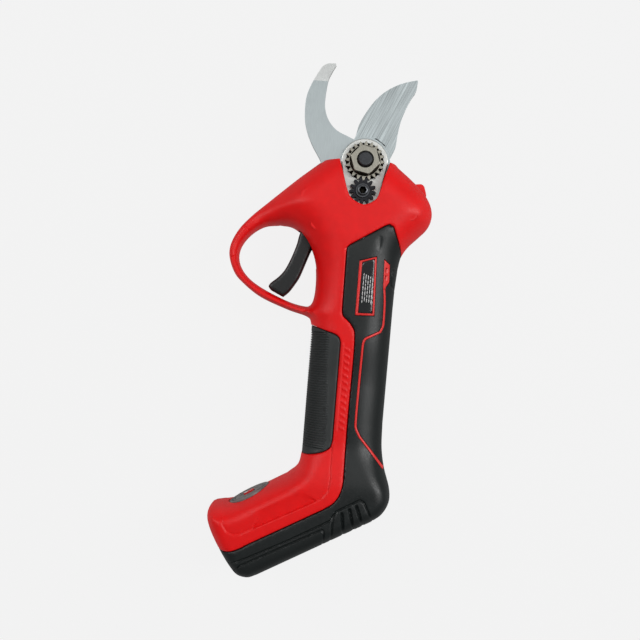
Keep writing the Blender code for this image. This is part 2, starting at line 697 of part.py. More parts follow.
def ribbon(points, width):
    return shifted(points, width / 2) + shifted(points, -width / 2)[::-1]


def on_surface(offset, side):
    return lambda p: side * (shell_height(p) + offset)


def inlay(name, loops, side, sink, proud, slot):
    """A thin piece let into the shell's surface."""
    low, high = on_surface(-sink, side), on_surface(proud, side)
    bounds = (low, high) if side > 0 else (high, low)
    return slab(name, loops, *bounds, slot, SHELL_ROWS)


def trim_line(side, name):
    return inlay(name, [ribbon(joined(TRIM, 5.0), 1.0)], side, 0.8, 0.05, "red_plastic")


def trim_badge(side, name):
    return inlay(name, [TRIM_BADGE], side, 0.8, 0.15, "red_plastic")


def rear_cover(side, name):
    """One black half: the back of the handle and the base."""
    shell = blank(name, side, "black_rubber")
    cut(shell, cavity(f"{name}_cavity", side))
    join(shell, *screw_bosses(name, side, SCREWS[4:], "black_rubber"))
    cut(shell, cover_prism(f"{name}_outline", 0), operation="INTERSECT")
    trim_groove = [inlay(f"{name}_trim_groove", [ribbon(joined(TRIM, 5.0), 1.6)], side, 1.1, 4,
                         "black_rubber"),
                   inlay(f"{name}_badge_groove", [grown(TRIM_BADGE, GAP)], side, 1.1, 4,
                         "black_rubber")]
    cut(shell, *trim_groove, *screw_holes(name, side, SCREWS[4:]), port_hole(name))
    if side > 0:
        cut(shell, inlay(f"{name}_label_pocket", [grown(LABEL_FRAME, GAP)], side, 1.3, 4,
                         "black_rubber"))
    return shell


def grown(loop, distance):
    """A small convex loop with each corner moved away from its middle."""
    p = np.array(loop)
    out = p - p.mean(0)
    return [tuple(q) for q in p + distance * 1.4 * out / np.linalg.norm(out, axis=1)[:, None]]


def label():
    inlay("label_frame", [LABEL_FRAME, grown(LABEL, GAP)], 1, 1.0, 0.2, "red_plastic")
    inlay("label_panel", [LABEL], 1, 1.0, -0.1, "label_face")


def front_grip():
    """The ribbed grip, one piece around the handle's front."""
    border = joined(GRIP_BORDER, SHELL_STEP)
    grip = slab("front_grip", [border], lambda p: -shell_height(p), shell_height, "black_rubber",
                SHELL_ROWS)
    room = [(-22.2 + WALL, -88), (-22.2 + WALL, -170), (5, -170), (5, -88)]
    inner = slab("front_grip_room", [room], lambda p: -shell_height(p, WALL),
                 lambda p: shell_height(p, WALL), "black_rubber", SHELL_ROWS)
    return cut(grip, inner)


# ---------------------------------------------------------------------------------------------
# Cutting head
# ---------------------------------------------------------------------------------------------

def fixed_blade():
    """The hook: its hub lies under the head plate, and its tip is ground thinner."""
    hub = arc((0, 0), HUB_RADIUS, 8, 112, 14)
    lower = [(-21.7, -23.5), (-12, -26.5), (12, -26.5), (21.7, -23.5), (21.7, -16.5), (15.5, -3)]
    outline = curve(HOOK_OUTER, 4) + lower + hub + curve(HOOK_INNER, 4)
    holes = [circle((0, 0), BOLT_HOLE), circle((0, LOCK_GEAR_Y), LOCK_SCREW_HOLE, 16)]
    holes += [circle(place, 1.6, 12) for place in BLADE_SCREWS]

    def top(points):
        beyond = np.clip(points[:, 1] - 43.5, 0, None)
        return FIXED_BLADE_Z[1] - 0.09 * beyond
    facet = [(-31.5, 43.5), (-28, 43.5), (-24.1, 43.5), (-26, 49)]
    return slab("fixed_blade", [outline] + holes, FIXED_BLADE_Z[0], top, "blade_steel", facet)


def moving_blade():
    """The swinging blade: flat where it meets the hook, bevelled underneath at its edge."""
    edge = curve(CUTTING_EDGE, 5)
    hub = arc((0, 0), 13.2, 350, 170, 20)
    outline = edge + curve(BLADE_BACK, 5) + hub
    notch = [(4.6, 13.6), (9.9, 9.9), (11.1, 9.9), (11, 11), (6.2, 14.4), (5, 14.6)]
    holes = [circle((0, 0), BUSH_RADIUS + GAP), notch]
    holes += [circle((0, side * DRIVE_PIN_PLACE), DRIVE_PIN_RADIUS + GAP, 12) for side in (-1, 1)]
    edge_line = np.array(edge)

    def bottom(points):
        away = np.linalg.norm(points[:, None, :] - edge_line[None], axis=2).min(1)
        outside_head = ease(points[:, 1], 13, 17)
        thin = np.clip(1 - away / 7, 0, 1) * outside_head
        return MOVING_BLADE_Z[0] + 2.4 * thin
    bevel = shifted(edge, -7)[3:-2] + shifted(edge, -3.5)[3:-1]
    return slab("moving_blade", [outline] + holes, bottom, MOVING_BLADE_Z[1], "blade_steel", bevel)


def head_plate():
    outline = arc((0, 0), PLATE_RADIUS, -12, 190, 26) + arc((0, -16.9), 7.4, 195, 348, 14)
    holes = [circle((0, 0), BOLT_HOLE), circle((0, LOCK_GEAR_Y), LOCK_SCREW_HOLE, 16)]
    return slab("head_plate", [outline] + holes, *HEAD_PLATE_Z, "plate_steel")


def head_frame():
    """The cast bracket that holds the pivot, the blades, the pinion bearing and the gearbox."""
    low = FRAME_Z[1] - 1
    top = FIXED_BLADE_Z[0] - GAP
    outline = arc((0, 0), PLATE_RADIUS, -40, 220, 27) + [(-19, -18), (-19, -27), (19, -27), (19, -18)]
    frame = slab("head_frame", [outline, circle((0, 0), BOLT_HOLE)], *FRAME_Z, "cast_alloy")
    skirt = arc((0, 0), HUB_RADIUS, 8, 172, 18) + arc((0, 0), 11.7, 172, 8, 18)
    wall = box("head_frame_wall", (-19, -27, low), (19, -23, top), "cast_alloy")
    posts = [boss(f"head_frame_post_{k}", place, 3.5, low, top, "cast_alloy")
             for k, place in enumerate(BLADE_SCREWS)]
    join(frame, slab("head_frame_skirt", [skirt], low, 4.2, "cast_alloy"), wall, *posts)
    bore = turned("head_frame_bore", ((7.3, 20), (7.3, 30)), "cast_alloy")
    pilots = [boss(f"head_frame_pilot_{k}", place, 1.5, -2, 12, "cast_alloy")
              for k, place in enumerate(BLADE_SCREWS)]
    return cut(frame, to_drive_axis(bore), *pilots)


def pivot_bolt():
    """One long bolt through the whole head; its hexagon head is the flat face to rest on."""
    shank = ((BOLT_RADIUS, BOLT_HEAD_Z[1] - 1), (BOLT_RADIUS, BOLT_TOP_Z - 0.8),
             (BOLT_RADIUS - 0.8, BOLT_TOP_Z))
    bolt = turned("pivot_bolt", shank, "black_steel")
    head = slab("pivot_bolt_head", [hexagon((0, 0), 15, 15)], *BOLT_HEAD_Z, "black_steel")
    return join(bolt, head)


def gear_nut():
    """The hexagon nut with its toothed flange, which sets the blades' play."""
    teeth = gear_loop(NUT_TEETH, 1.0, -90)
    nut = slab("gear_nut", [teeth, circle((0, 0), BOLT_HOLE)], *NUT_GEAR_Z, "nut_steel")
    hexagon_part = slab("gear_nut_hexagon", [hexagon((0, 0), 16.5, 49), circle((0, 0), BOLT_HOLE)],
                        NUT_GEAR_Z[1] - 1, NUT_TOP_Z, "nut_steel")
    return join(nut, hexagon_part)


def lock_gear():
    """The small gear that keeps the nut from turning, and the screw that holds it."""
    teeth = gear_loop(LOCK_TEETH, 1.0, 90 + 180 / LOCK_TEETH)
    gear = slab("lock_gear", [teeth, circle((0, 0), 2.3, 16)], 13.7, 17.0, "black_steel")
    move_to(gear, 0, LOCK_GEAR_Y)
    profile = ((1.9, 8.5), (1.9, 17.3), (4.3, 17.3), (4.3, 18.7), (3.6, 19.3))
    screw = move_to(turned("lock_screw", profile, "black_steel", 20), 0, LOCK_GEAR_Y)
    socket = prism("lock_screw_socket", hexagon((0, 0), 4.2, 0), 17.8, 21)
    cut(screw, move_to(socket, 0, LOCK_GEAR_Y))


def blade_screws():
    for k, place in enumerate(BLADE_SCREWS):
        profile = ((1.2, 0), (1.2, 11.4), (3.0, 11.4), (3.0, 13.2), (2.2, 13.8))
        move_to(turned(f"blade_screw_{k + 1}", profile, "black_steel", 14), *place)


def pivot_bush():
    tube("pivot_bush", BUSH_RADIUS, BOLT_HOLE, FRAME_Z[1] + GAP, FIXED_BLADE_Z[0] - GAP, "bronze")
    for k, side in enumerate((-1, 1)):
        pin = turned(f"drive_pin_{k + 1}", ((DRIVE_PIN_RADIUS, 1.0), (DRIVE_PIN_RADIUS, 7.6)),
                     "bright_steel", 12)
        move_to(pin, 0, side * DRIVE_PIN_PLACE)


# ---------------------------------------------------------------------------------------------
# Gearbox and motor
# ---------------------------------------------------------------------------------------------

def planet_places():
    distance = (SUN_TEETH + PLANET_TEETH) * PLANET_MODULE / 2
    angles = [90 + 360 * k / PLANET_COUNT for k in range(PLANET_COUNT)]
    return [(distance * cos(radians(a)), distance * sin(radians(a)), a) for a in angles]


def gearbox():
    tube_loop = gear_loop(RING_TEETH, PLANET_MODULE, 95, -0.12, DEDENDUM, ADDENDUM)
    ring = slab("ring_gear", [circle((0, 0), RING_RADIUS, 36), tube_loop], *RING_A, "bright_steel")
    to_drive_axis(ring)
    carrier = tube("planet_carrier", 10.4, SHAFT_RADIUS + GAP, *CARRIER_A, "bright_steel", 28)
    to_drive_axis(carrier)
    for k, (x, y, angle) in enumerate(planet_places()):
        pin = turned(f"carrier_pin_{k}", ((1.3, CARRIER_A[0] + 1), (1.3, CARRIER_PIN_END)),
                     "bright_steel", 12)
        to_drive_axis(pin)
        pin.location.x, pin.location.z = x * MM, pin.location.z + y * MM
        join(carrier, pin)
        loop = gear_loop(PLANET_TEETH, PLANET_MODULE, angle + 180 / PLANET_TEETH)
        planet = slab(f"planet_gear_{k + 1}", [loop, circle((0, 0), 1.6, 12)], *PLANET_A,
                      "bright_steel")
        to_drive_axis(planet)
        planet.location.x, planet.location.z = x * MM, planet.location.z + y * MM
    sun_loop = gear_loop(SUN_TEETH, PLANET_MODULE, 90)
    hole = circle((0, 0), ROTOR_SHAFT_RADIUS + GAP, 12)
    to_drive_axis(slab("sun_gear", [sun_loop, hole], PLANET_A[0] + 0.3, 44.5, "bright_steel"))
    to_drive_axis(tube("pinion_bearing", 7.0, SHAFT_RADIUS + GAP, *BEARING_A, "bright_steel"))


def motor():
    """Brushless motor: front plate, can, stator, rotor, bearing and end bell."""
    bearing = 4.7
    to_drive_axis(tube("motor_front_plate", RING_RADIUS, bearing + GAP, *MOUNT_A, "cast_alloy"))
    to_drive_axis(tube("motor_bearing", bearing, ROTOR_SHAFT_RADIUS + GAP, MOUNT_A[0] + 0.3,
                       MOUNT_A[1] - 0.3, "bright_steel", 20))
    to_drive_axis(tube("motor_can", CAN_RADIUS, 11.8, *CAN_A, "black_steel", 28))
    to_drive_axis(tube("motor_stator", 11.5, 7.3, *STATOR_A, "copper"))
    shaft = ROTOR_SHAFT_RADIUS
    profile = ((shaft, 34.0), (shaft, MAGNET_A[0]), (6.9, MAGNET_A[0]), (6.9, MAGNET_A[1]),
               (shaft, MAGNET_A[1]), (shaft, END_BELL_A[1] + 0.5))
    to_drive_axis(turned("motor_rotor", profile, "black_steel", 20))
    to_drive_axis(tube("motor_end_bell", CAN_RADIUS, shaft + GAP, *END_BELL_A, "cast_alloy", 28))


# ---------------------------------------------------------------------------------------------
# Trigger, electronics, battery and fasteners
# ---------------------------------------------------------------------------------------------

def trigger():
    boss_arc = arc(TRIGGER_PIVOT, 4, 110, 10, 7)
    outline = curve(TRIGGER, 4) + curve(TRIGGER_FRONT, 4) + boss_arc
    pin_hole = circle(TRIGGER_PIVOT, TRIGGER_PIN_RADIUS + GAP, 14)
    magnet_place = (-28.0, -44.5)
    magnet_hole = circle(magnet_place, 1.8, 12)

    def thickness(points):
        away = np.clip(edge_distance(points, [outline]) / 2.2, 0, 1)
        return (TRIGGER_HALF - 1.6) + 1.6 * (1 - (1 - away) ** 2) ** 0.5
    spine = [((a[0] + b[0]) / 2, (a[1] + b[1]) / 2)
             for a, b in zip(curve(TRIGGER, 4)[3:], curve(TRIGGER_FRONT, 4)[:-3][::-1])]
    slab("trigger", [outline, pin_hole, magnet_hole], lambda p: -thickness(p), thickness,
         "black_plastic", spine)
    move_to(turned("trigger_magnet", ((1.5, -4), (1.5, 4)), "bright_steel", 12), *magnet_place)
    low, high = TRIGGER_PIN_Z
    pin = turned("trigger_pin", ((TRIGGER_PIN_RADIUS, low), (TRIGGER_PIN_RADIUS, high)),
                 "bright_steel", 14)
    move_to(pin, *TRIGGER_PIVOT)


def trigger_spring():
    """A torsion spring around the trigger's pin."""
    wire, radius, turns, per_turn, sides = 0.35, 2.5, 3, 10, 5
    start, pitch = -9.0, 0.9
    rings = []
    for k in range(turns * per_turn + 1):
        angle = 2 * pi * k / per_turn
        centre = Vector(polar(radius, angle, start + pitch * k / per_turn))
        outward = Vector((cos(angle), sin(angle), 0))
        rings.append([centre + wire * (cos(a) * outward + sin(a) * Vector((0, 0, 1)))
                      for a in np.radians(np.arange(0, 360, 360 / sides))])
    move_to(loft("trigger_spring", rings, "bright_steel"), *TRIGGER_PIVOT)


def electronics():
    box("hall_sensor_board", (-19.4, -57, -5), (-17.8, -47, 5), "board_green")
    board = [(8, -108), (8, -113), (4, -113), (4, -121), (8, -121), (8, -126), (5.5, -126),
             (5.5, -131), (8, -131), (8, -136), (3, -136), (3, -147), (8, -147), (8, -152),
             (9.6, -152), (9.6, -108)]
    slab("control_board", [board], -11, 11, "board_green")


def battery():
    for k, (n, z) in enumerate(CELLS):
        length = CELL_U[1] - CELL_U[0]
        profile = ((8.2, 0), (CELL_RADIUS, 0.8), (CELL_RADIUS, length - 0.8), (8.2, length))
        cell = turned(f"battery_cell_{k + 1}", profile, "cell_wrap", 20)
        to_foot_axis(cell, CELL_U[0], n, z)
    board = slab("battery_board", [[(-14.5, -14.5), (14.5, -14.5), (14.5, 14.5), (-14.5, 14.5)]], 0, 1.6,
                 "board_green")
    to_foot_axis(board, CELL_U[1] + 0.6, -161)
    to_foot_axis(turned("charge_socket", ((3.6, 0), (3.6, 5)), "black_plastic", 16), -162.2, PORT_N)
    plug = [(-6, -4.5), (6, -4.5), (6, 4.5), (-6, 4.5)]
    to_foot_axis(slab("port_cover", [plug], 0, 3.2, "black_rubber"), -165.8, PORT_N)


def power_button():
    """Round bezel, pressed cap, its lens and the switch under it, in the toe's top face."""
    bezel = tube("button_bezel", BEZEL_RADIUS, BUTTON_RADIUS + GAP, -2.5, 0.3, "grey_plastic", 32)
    to_foot_top(bezel, BUTTON_U, TOE_TOP_N)
    cap = turned("power_button", ((BUTTON_RADIUS, -2.1), (BUTTON_RADIUS, 0.2),
                                  (BUTTON_RADIUS - 0.5, 0.5)), "grey_plastic", 28)
    to_foot_top(cap, BUTTON_U, TOE_TOP_N)
    groove = prism("power_button_groove", [(-4.1, -1.6), (4.1, -1.6), (4.1, 1.6), (-4.1, 1.6)],
                   -0.6, 3)
    cut(cap, to_foot_top(groove, BUTTON_U, TOE_TOP_N))
    lens = slab("indicator_lens", [[(-3.8, -1.3), (3.8, -1.3), (3.8, 1.3), (-3.8, 1.3)]], -0.3, 0.6,
                "clear_lens")
    to_foot_top(lens, BUTTON_U, TOE_TOP_N)
    switch = slab("button_switch", [[(-3, -2.6), (3, -2.6), (3, 2.6), (-3, 2.6)]], -5.4, -3.4,
                  "black_plastic")
    to_foot_top(switch, BUTTON_U, TOE_TOP_N)


def housing_screws():
    for k, place in enumerate(SCREWS):
        outer, under_head = screw_levels(place)
        profile = ((2.2, outer), (2.8, outer + 0.6), (2.8, under_head), (1.2, under_head),
                   (1.2, 9.5))
        screw = move_to(turned(f"housing_screw_{k + 1}", profile, "black_steel", 10), *place)
        socket = turned(f"housing_screw_socket_{k}", ((1.2, -30), (1.2, outer + 1.2)),
                        "black_steel", 6)
        cut(screw, move_to(socket, *place))


def main():
    for old in list(bpy.data.objects):
        bpy.data.objects.remove(old)
    for side, word in ((1, "right"), (-1, "left")):
        housing(side, f"housing_{word}")
        rear_cover(side, f"rear_cover_{word}")
        trim_line(side, f"trim_line_{word}")
        trim_badge(side, f"trim_badge_{word}")
    label()
    front_grip()
    fixed_blade()
    moving_blade()
    bevel_gear()
    bevel_pinion()
    head_plate()
    head_frame()
    pivot_bolt()
    gear_nut()
    lock_gear()
    blade_screws()
    pivot_bush()
    gearbox()
    motor()
    trigger()
    trigger_spring()
    electronics()
    battery()
    power_button()
    housing_screws()


main()
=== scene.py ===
"""Looks of the battery electric pruner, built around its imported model.

Sizes are in millimetres and heights are measured from the tool's mid-plane, as in the CAD; meshes
are written in metres, in the CAD's frame.  +Y runs along the handle towards the blades, +X towards
the back of the tool, and +Z up through the pivot.
"""

import json
from math import acos, cos, pi, radians, sin, tan

import bpy
import numpy as np
from mathutils import Matrix, Vector
from mathutils.geometry import delaunay_2d_cdt


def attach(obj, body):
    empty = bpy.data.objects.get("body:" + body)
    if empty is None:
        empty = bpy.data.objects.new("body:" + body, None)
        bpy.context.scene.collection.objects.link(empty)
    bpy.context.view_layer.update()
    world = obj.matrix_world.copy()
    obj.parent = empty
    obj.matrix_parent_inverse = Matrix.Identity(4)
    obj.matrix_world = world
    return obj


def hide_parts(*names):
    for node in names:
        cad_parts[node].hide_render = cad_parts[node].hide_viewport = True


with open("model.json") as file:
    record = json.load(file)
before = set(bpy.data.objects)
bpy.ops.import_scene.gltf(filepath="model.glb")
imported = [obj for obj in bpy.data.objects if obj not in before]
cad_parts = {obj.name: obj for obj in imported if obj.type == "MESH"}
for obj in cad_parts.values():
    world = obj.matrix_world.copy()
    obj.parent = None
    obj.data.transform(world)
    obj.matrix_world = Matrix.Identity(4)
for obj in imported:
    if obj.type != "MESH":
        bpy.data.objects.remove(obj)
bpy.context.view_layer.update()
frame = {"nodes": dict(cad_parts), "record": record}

MM = 0.001
MID = 24.0                     # height of the tool's mid-plane
GAP = 0.3
SEAM = 0.05                    # each half stops this far from the mid-plane

# Shell, as in the CAD but with finer points
HEAD_HALF = 24.0
NECK_HALF = 21.5
HANDLE_HALF = 19.5
GUARD_HALF = 9.0
HEAD_ROUND = 20.0
HANDLE_ROUND = 17.0
FOOT_ROUND = 9.0
GUARD_ROUND = 3.0
GUARD_START = (-30.0, -23.5)   # X where the guard begins, above and below the finger hole
GUARD_END = (-60.0, -40.0)
SIDE_POWER = 2.3               # how square the rounded sides are
LAND = 1.0
WALL = 2.8
STEP = 1.5                     # spacing of points along outlines
GRID = 2.1                     # spacing of points inside a face
ROW_DEPTHS = (0.12, 0.4, 0.9, 1.6, 2.6, 3.9, 5.4)
EDGE_ROWS = (0.12, 0.35, 0.7)
INLAY_ROWS = (0.15, 0.35, 0.6)
EDGE_ROUND = 0.8               # rounding of a shell's edge along another piece
KEEP_OFF = 0.07                # inner points stay this far from an outline

MARK_PITCH = 3.6               # spacing of the slanted bars on the red strip

# Ribs of the front grip
GRIP_X = -22.2                 # front edge
GRIP_Y = (-164.7, -92.7)
RIB_PITCH = 1.35
RIB_HEIGHT = 0.55
RIB_PROFILE = ((0.0, 0.0), (0.12, 1.0), (0.5, 1.0), (0.62, 0.0))

FOOT_ANGLE = radians(30.1)
BUTTON_U = -139.0
TOE_TOP_N = -139.4
BEZEL_RADIUS = 12.3
BUTTON_RADIUS = 8.7
PORT_N = -167.0
HUB_RADIUS = 14.2
PLATE_RADIUS = 12.9
BOLT_RADIUS = 4.4
BOLT_HOLE = BOLT_RADIUS + GAP
LOCK_GEAR_Y = -16.5
LOCK_GEAR_Z = (13.7, 16.4)
LOCK_HOLE = 2.2
MOVING_BLADE_Z = (4.8, 7.8)
FIXED_BLADE_Z = (8.1, 11.1)
GROUND_Y = 43.5                # where the hook's ground tip begins
GROUND_SLOPE = 0.09
EDGE_WIDTH = 7.0               # width and depth of the cutting edge's bevel
EDGE_DEPTH = 2.6
DRIVE_PIN_PLACE = 7.95
HEAD_PLATE_Z = (11.4, 13.4)
NUT_GEAR_Z = (13.7, 16.2)
NUT_TOP_Z = 21.0
BOLT_TOP_Z = 22.5
BOLT_HEAD_Z = (-24.0, -18.5)
TRIGGER_PIVOT = (-23.5, -36.5)
TRIGGER_HALF = 5.5
TRIGGER_PIN_RADIUS = 1.5
PRESSURE_ANGLE = radians(25)
MODULE = 1.0
BOSS_RADIUS = 3.6
SCREW_RADIUS = 1.5             # clearance and pilot holes
POCKET_RADIUS = 3.1            # room for a screw's head
SCREWS = ((-30.0, -22.0), (27.0, -28.0), (-2.0, -100.5), (-2.0, -159.0), (17.0, -186.0))


# --- Outlines ---

def mix(a, b, t):
    return a + (b - a) * t


def curve(points, step):
    """Points about a step apart on a smooth curve through the given ones."""
    through = [np.array(p, float) for p in points]
    ends = [2 * through[0] - through[1]] + through + [2 * through[-1] - through[-2]]
    result = []
    for a, b, c, d in zip(ends, ends[1:], ends[2:], ends[3:]):
        count = max(1, round(float(np.linalg.norm(c - b)) / step))
        for k in range(count):
            t = k / count
            result.append(0.5 * (2 * b + (c - a) * t + (2 * a - 5 * b + 4 * c - d) * t * t
                                 + (3 * b - a - 3 * c + d) * t ** 3))
    result.append(through[-1])
    return [tuple(p) for p in result]


def arc(centre, radius, start, end, count):
    angles = np.radians(np.linspace(start, end, count))
    return [(centre[0] + radius * cos(a), centre[1] + radius * sin(a)) for a in angles]


def circle(centre, radius, count=48):
    return arc(centre, radius, 0, 360, count + 1)[:-1]


def hexagon(across_corners, turn):
    return arc((0, 0), across_corners / 2, turn, turn + 360, 7)[:-1]


def shifted(points, distance):
    """An open run of points moved to its left by a distance."""
    p = np.array(points)
    along = np.gradient(p, axis=0)
    along /= np.linalg.norm(along, axis=1)[:, None]
    return [tuple(q) for q in p + distance * np.column_stack((-along[:, 1], along[:, 0]))]


def straight(points, step):
    """Points at most a step apart on straight runs between the given ones."""
    result = []
    for a, b in zip(points, points[1:]):
        count = max(1, round(float(np.hypot(b[0] - a[0], b[1] - a[1])) / step))
        result += [(mix(a[0], b[0], k / count), mix(a[1], b[1], k / count)) for k in range(count)]
    return result + [tuple(points[-1])]


def joined(pieces, step):
    """Smooth curves joined by straight runs, with a point at least every step."""
    return straight([p for piece in pieces for p in curve(piece, step)], step)


def rounded(corners, radius, count=5):
    """A closed loop with its corners rounded."""
    p = np.array(corners, float)
    result = []
    for k in range(len(p)):
        before, here, after = p[k - 1], p[k], p[(k + 1) % len(p)]
        a, b = before - here, after - here
        reach = min(radius, 0.45 * np.linalg.norm(a), 0.45 * np.linalg.norm(b))
        start, end = here + reach * a / np.linalg.norm(a), here + reach * b / np.linalg.norm(b)
        for t in np.linspace(0, 1, count):
            result.append(tuple((1 - t) ** 2 * start + 2 * t * (1 - t) * here + t * t * end))
    return result


def rectangle(low_x, low_y, high_x, high_y):
    return [(low_x, low_y), (high_x, low_y), (high_x, high_y), (low_x, high_y)]


def oblong(half_x, half_y, radius):
    return rounded(rectangle(-half_x, -half_y, half_x, half_y), radius)


def foot_point(u, n):
    return (u * cos(FOOT_ANGLE) - n * sin(FOOT_ANGLE), u * sin(FOOT_ANGLE) + n * cos(FOOT_ANGLE))


GUARD_OUTER = [(-33.1, -8.1), (-41.5, -15.6), (-53.7, -26.8), (-61.2, -34), (-67.4, -41.5),
               (-71.4, -50), (-71.8, -57.3), (-68.9, -65.2), (-64.4, -70.7), (-52.9, -78.8),
               (-36.9, -84.9), (-25.6, -88), (-22.9, -91), (-22.2, -98)]
TOE = [(-22.2, -164), (-24, -172.5), (-30, -178.5)]
TOE_LIP = [(-50.3, -190.4), (-58.5, -195), (-66, -196.7), (-71, -198.2), (-72.5, -203),
           (-70.4, -210), (-65.3, -219.3), (-58.6, -229), (-53.2, -234.3), (-46.5, -235.6),
           (-40.9, -233.5)]
HEEL = [(19.7, -199.5), (25.3, -194.9), (28.8, -187.9), (28.4, -180.4), (24.8, -169.4),
        (22.7, -158.5), (22.1, -145)]
BACK = [(22.7, -80), (23, -69), (23.8, -58), (25, -51), (28.5, -44.8), (33.8, -39.1),
        (38.7, -33.4), (40.6, -26.7), (39.1, -20), (34.6, -13.3), (27.3, -6.7), (19.6, -0.7)]
DOME = [(19.6, -0.7), (12, 8), (0, 12.5), (-13, 8), (-24, -0.4), (-33.1, -8.1)]
FINGER_HOLE = [(-44.5, -37.3), (-37.6, -38.1), (-31, -42.5), (-25.3, -51), (-22.3, -62),
               (-22, -75), (-24, -81.5), (-28.5, -82.2), (-37.9, -79.9), (-52, -73.9),
               (-60.9, -68), (-66, -60.5), (-66.1, -52.5), (-61.2, -44.6), (-53.5, -39),
               (-44.5, -37.3)]
COVER_BORDER = [[(26, -54.5), (24, -49), (19.7, -39.7), (17.9, -35.9), (15.9, -34.9), (13, -36.2)],
                [(-4.6, -47.4), (-5.9, -48.8), (-6.2, -51)],
                [(-6, -83), (-5.3, -86), (-3, -88)],
                [(-1, -89.9), (1.2, -93.2), (1.9, -97), (2.2, -110), (1.8, -142), (1.8, -170),
                 (1.6, -178), (0, -184), (-3, -188.4), (-8, -192)],
                [(-47, -213.8), (-52.3, -217), (-58, -219), (-66, -219.8), (-74, -219.5)]]
GRIP_BORDER = [[(-22.2, -92.7), (-14.1, -95.2), (-9.2, -96.6), (-6.7, -98.4), (-5.8, -101.3)],
               [(-6, -154.5), (-6.8, -158.1), (-9.6, -160.6), (-14.3, -162.5), (-22.2, -164.7)]]
WINDOW = [(-14.1, 6), (-13.9, 0), (-11.5, -8.3), (-8.2, -18.4), (-5.4, -22.4), (1, -25),
          (6.7, -22.2), (8.7, -18.7), (10.9, -9.5), (13.7, -0.9), (14.1, 6)]
MOUTH = [(-60, -1.2), (60, 1.2)]
HOOK_OUTER = [(-20.2, 54), (-25.3, 53.3), (-29, 49.1), (-34.6, 35.9), (-35.2, 24), (-33.6, 16),
              (-29.9, 7.7), (-24.5, -1), (-21.8, -9), (-21.7, -18)]
HOOK_INNER = [(-7, 12.4), (-11.1, 14.1), (-16, 16.2), (-19.9, 19.5), (-23.1, 24.7),
              (-24.5, 31.8), (-23.7, 43.4), (-21.8, 48.8), (-19.8, 52.8)]
CUTTING_EDGE = [(-12.5, 2), (-9.5, 8.2), (-6.1, 14.5), (-4.7, 20.8), (-1.6, 27.7), (2.7, 34.7),
                (8.3, 40.7), (15.3, 45.2), (21.2, 47.5), (26.2, 48.8)]
BLADE_BACK = [(26.5, 47.8), (25.8, 42.3), (23.7, 38.5), (21.1, 32.5), (18.7, 25), (17.5, 18),
              (16.8, 10.3), (15.3, 6.2), (13, 1.5)]
TRIGGER = [(-19.5, -36.5), (-20.8, -41), (-23.6, -46), (-25.9, -50.5), (-28.2, -57), (-31.2, -65.7),
           (-33.6, -70.2), (-36.6, -74.8), (-39.9, -78)]
TRIGGER_FRONT = [(-46.4, -75), (-48.2, -73), (-47.4, -70.8), (-43, -66.8), (-39.7, -62.4),
                 (-36.7, -55.5), (-34.2, -47.7), (-32.9, -41.5), (-29.5, -36.5), (-26.5, -33.6)]
TRIM = [[(15.95, -69.9), (16.8, -77), (17.1, -87), (16.9, -90.2), (15.6, -93.4)],
        [(8.1, -97.4), (6.7, -99.7), (6.4, -108), (6.1, -129), (6, -142), (6.4, -147),
         (8.8, -151.5)],
        [(15.3, -158.8), (21.4, -166), (24, -169)]]
TRIM_BADGE = [(14.6, -53.9), (18, -56.4), (18.5, -65.7), (16.7, -68.7), (16.6, -69.8),
              (15.2, -69.8)]
LABEL_FRAME = [(1.0, -55.7), (10.3, -52.8), (11.5, -84.8), (1.0, -85.3)]
LABEL = [(2.7, -56.7), (9.2, -54.4), (10.3, -83.3), (2.6, -83.6)]
LUG = [(25, -11), (29.5, -8.8), (33.4, -8.3), (35, -9.4), (36.7, -14.5), (36, -17.5), (30, -15)]

# Lines moulded into the shell
TOE_STEP = [(-69, -193.5), (-66.7, -194.3), (-64.4, -194.6), (-63.2, -199.4), (-62, -204.2),
            (-59.5, -207.8), (-56.1, -209.2), (-51.9, -208.6), (-44.8, -204.8), (-20.6, -192),
            (-9.1, -185.7), (-6.2, -181.6), (-5.4, -175.5), (-5.8, -167.9), (-5.8, -158)]
TOE_FACET = [(-45.7, -208), (-43.6, -195.7), (-42.7, -194.8), (-20.2, -183), (-10.2, -188)]
BASE_GROOVE = [(-57.2, -225.6), (-48.1, -221.6), (-24.6, -209.4), (-3.8, -197.5), (-2, -193.8)]
SOLE_GROOVE = [(-54.1, -229.3), (-50.5, -225.6), (-7.8, -202.7), (-6.6, -204.2), (-6.7, -214)]
HEEL_BLOCK = [(-2.7, -212), (-2.3, -195.7), (-1, -192.4), (11.5, -185.1), (13.7, -186.3),
              (20.5, -199)]
HEEL_SLOTS = (((2.3, -193.2), (4.4, -209)), ((6.2, -190.7), (10, -205)),
              ((9.9, -188.9), (15.2, -202.5)))
NECK_MARK = [(24.5, -57.4), (20.1, -58.8), (19.3, -62.1), (19.7, -67.2), (22.6, -69.6)]
GUARD_SEAM = [(-64.4, -39), (-60, -44.6)]
STRIP_LINE = [(-4.2, -101.5), (-4.3, -149.5)]
CREASE = [(11.6, -41), (11.2, -49.5)]

SHELL_LOOP = joined((DOME[:-1], GUARD_OUTER, TOE, TOE_LIP, HEEL, BACK), STEP)[:-1]
HOLE_LOOP = curve(FINGER_HOLE, STEP)[:-1]
CORE = [DOME[:4] + [(-24.2, -0.1), (-36, -12), (-41, -20), (-42, -32), (-38, -39)],
        [(-31, -43.2), (-25.5, -51), (-22.3, -62), (-22, -75)], TOE, TOE_LIP, HEEL, BACK]
CORE_LOOP = joined(CORE, STEP)[:-1]


def cover_line(grow):
    return shifted(joined(COVER_BORDER, STEP), -grow)


def cover_loop(grow):
    return cover_line(grow) + [(-85, -219.5), (-85, -260), (70, -260), (70, -54.5)]


def grip_line(grow):
    line = shifted(joined(GRIP_BORDER, STEP), grow)
    return [(-30, line[0][1])] + line + [(-30, line[-1][1])]


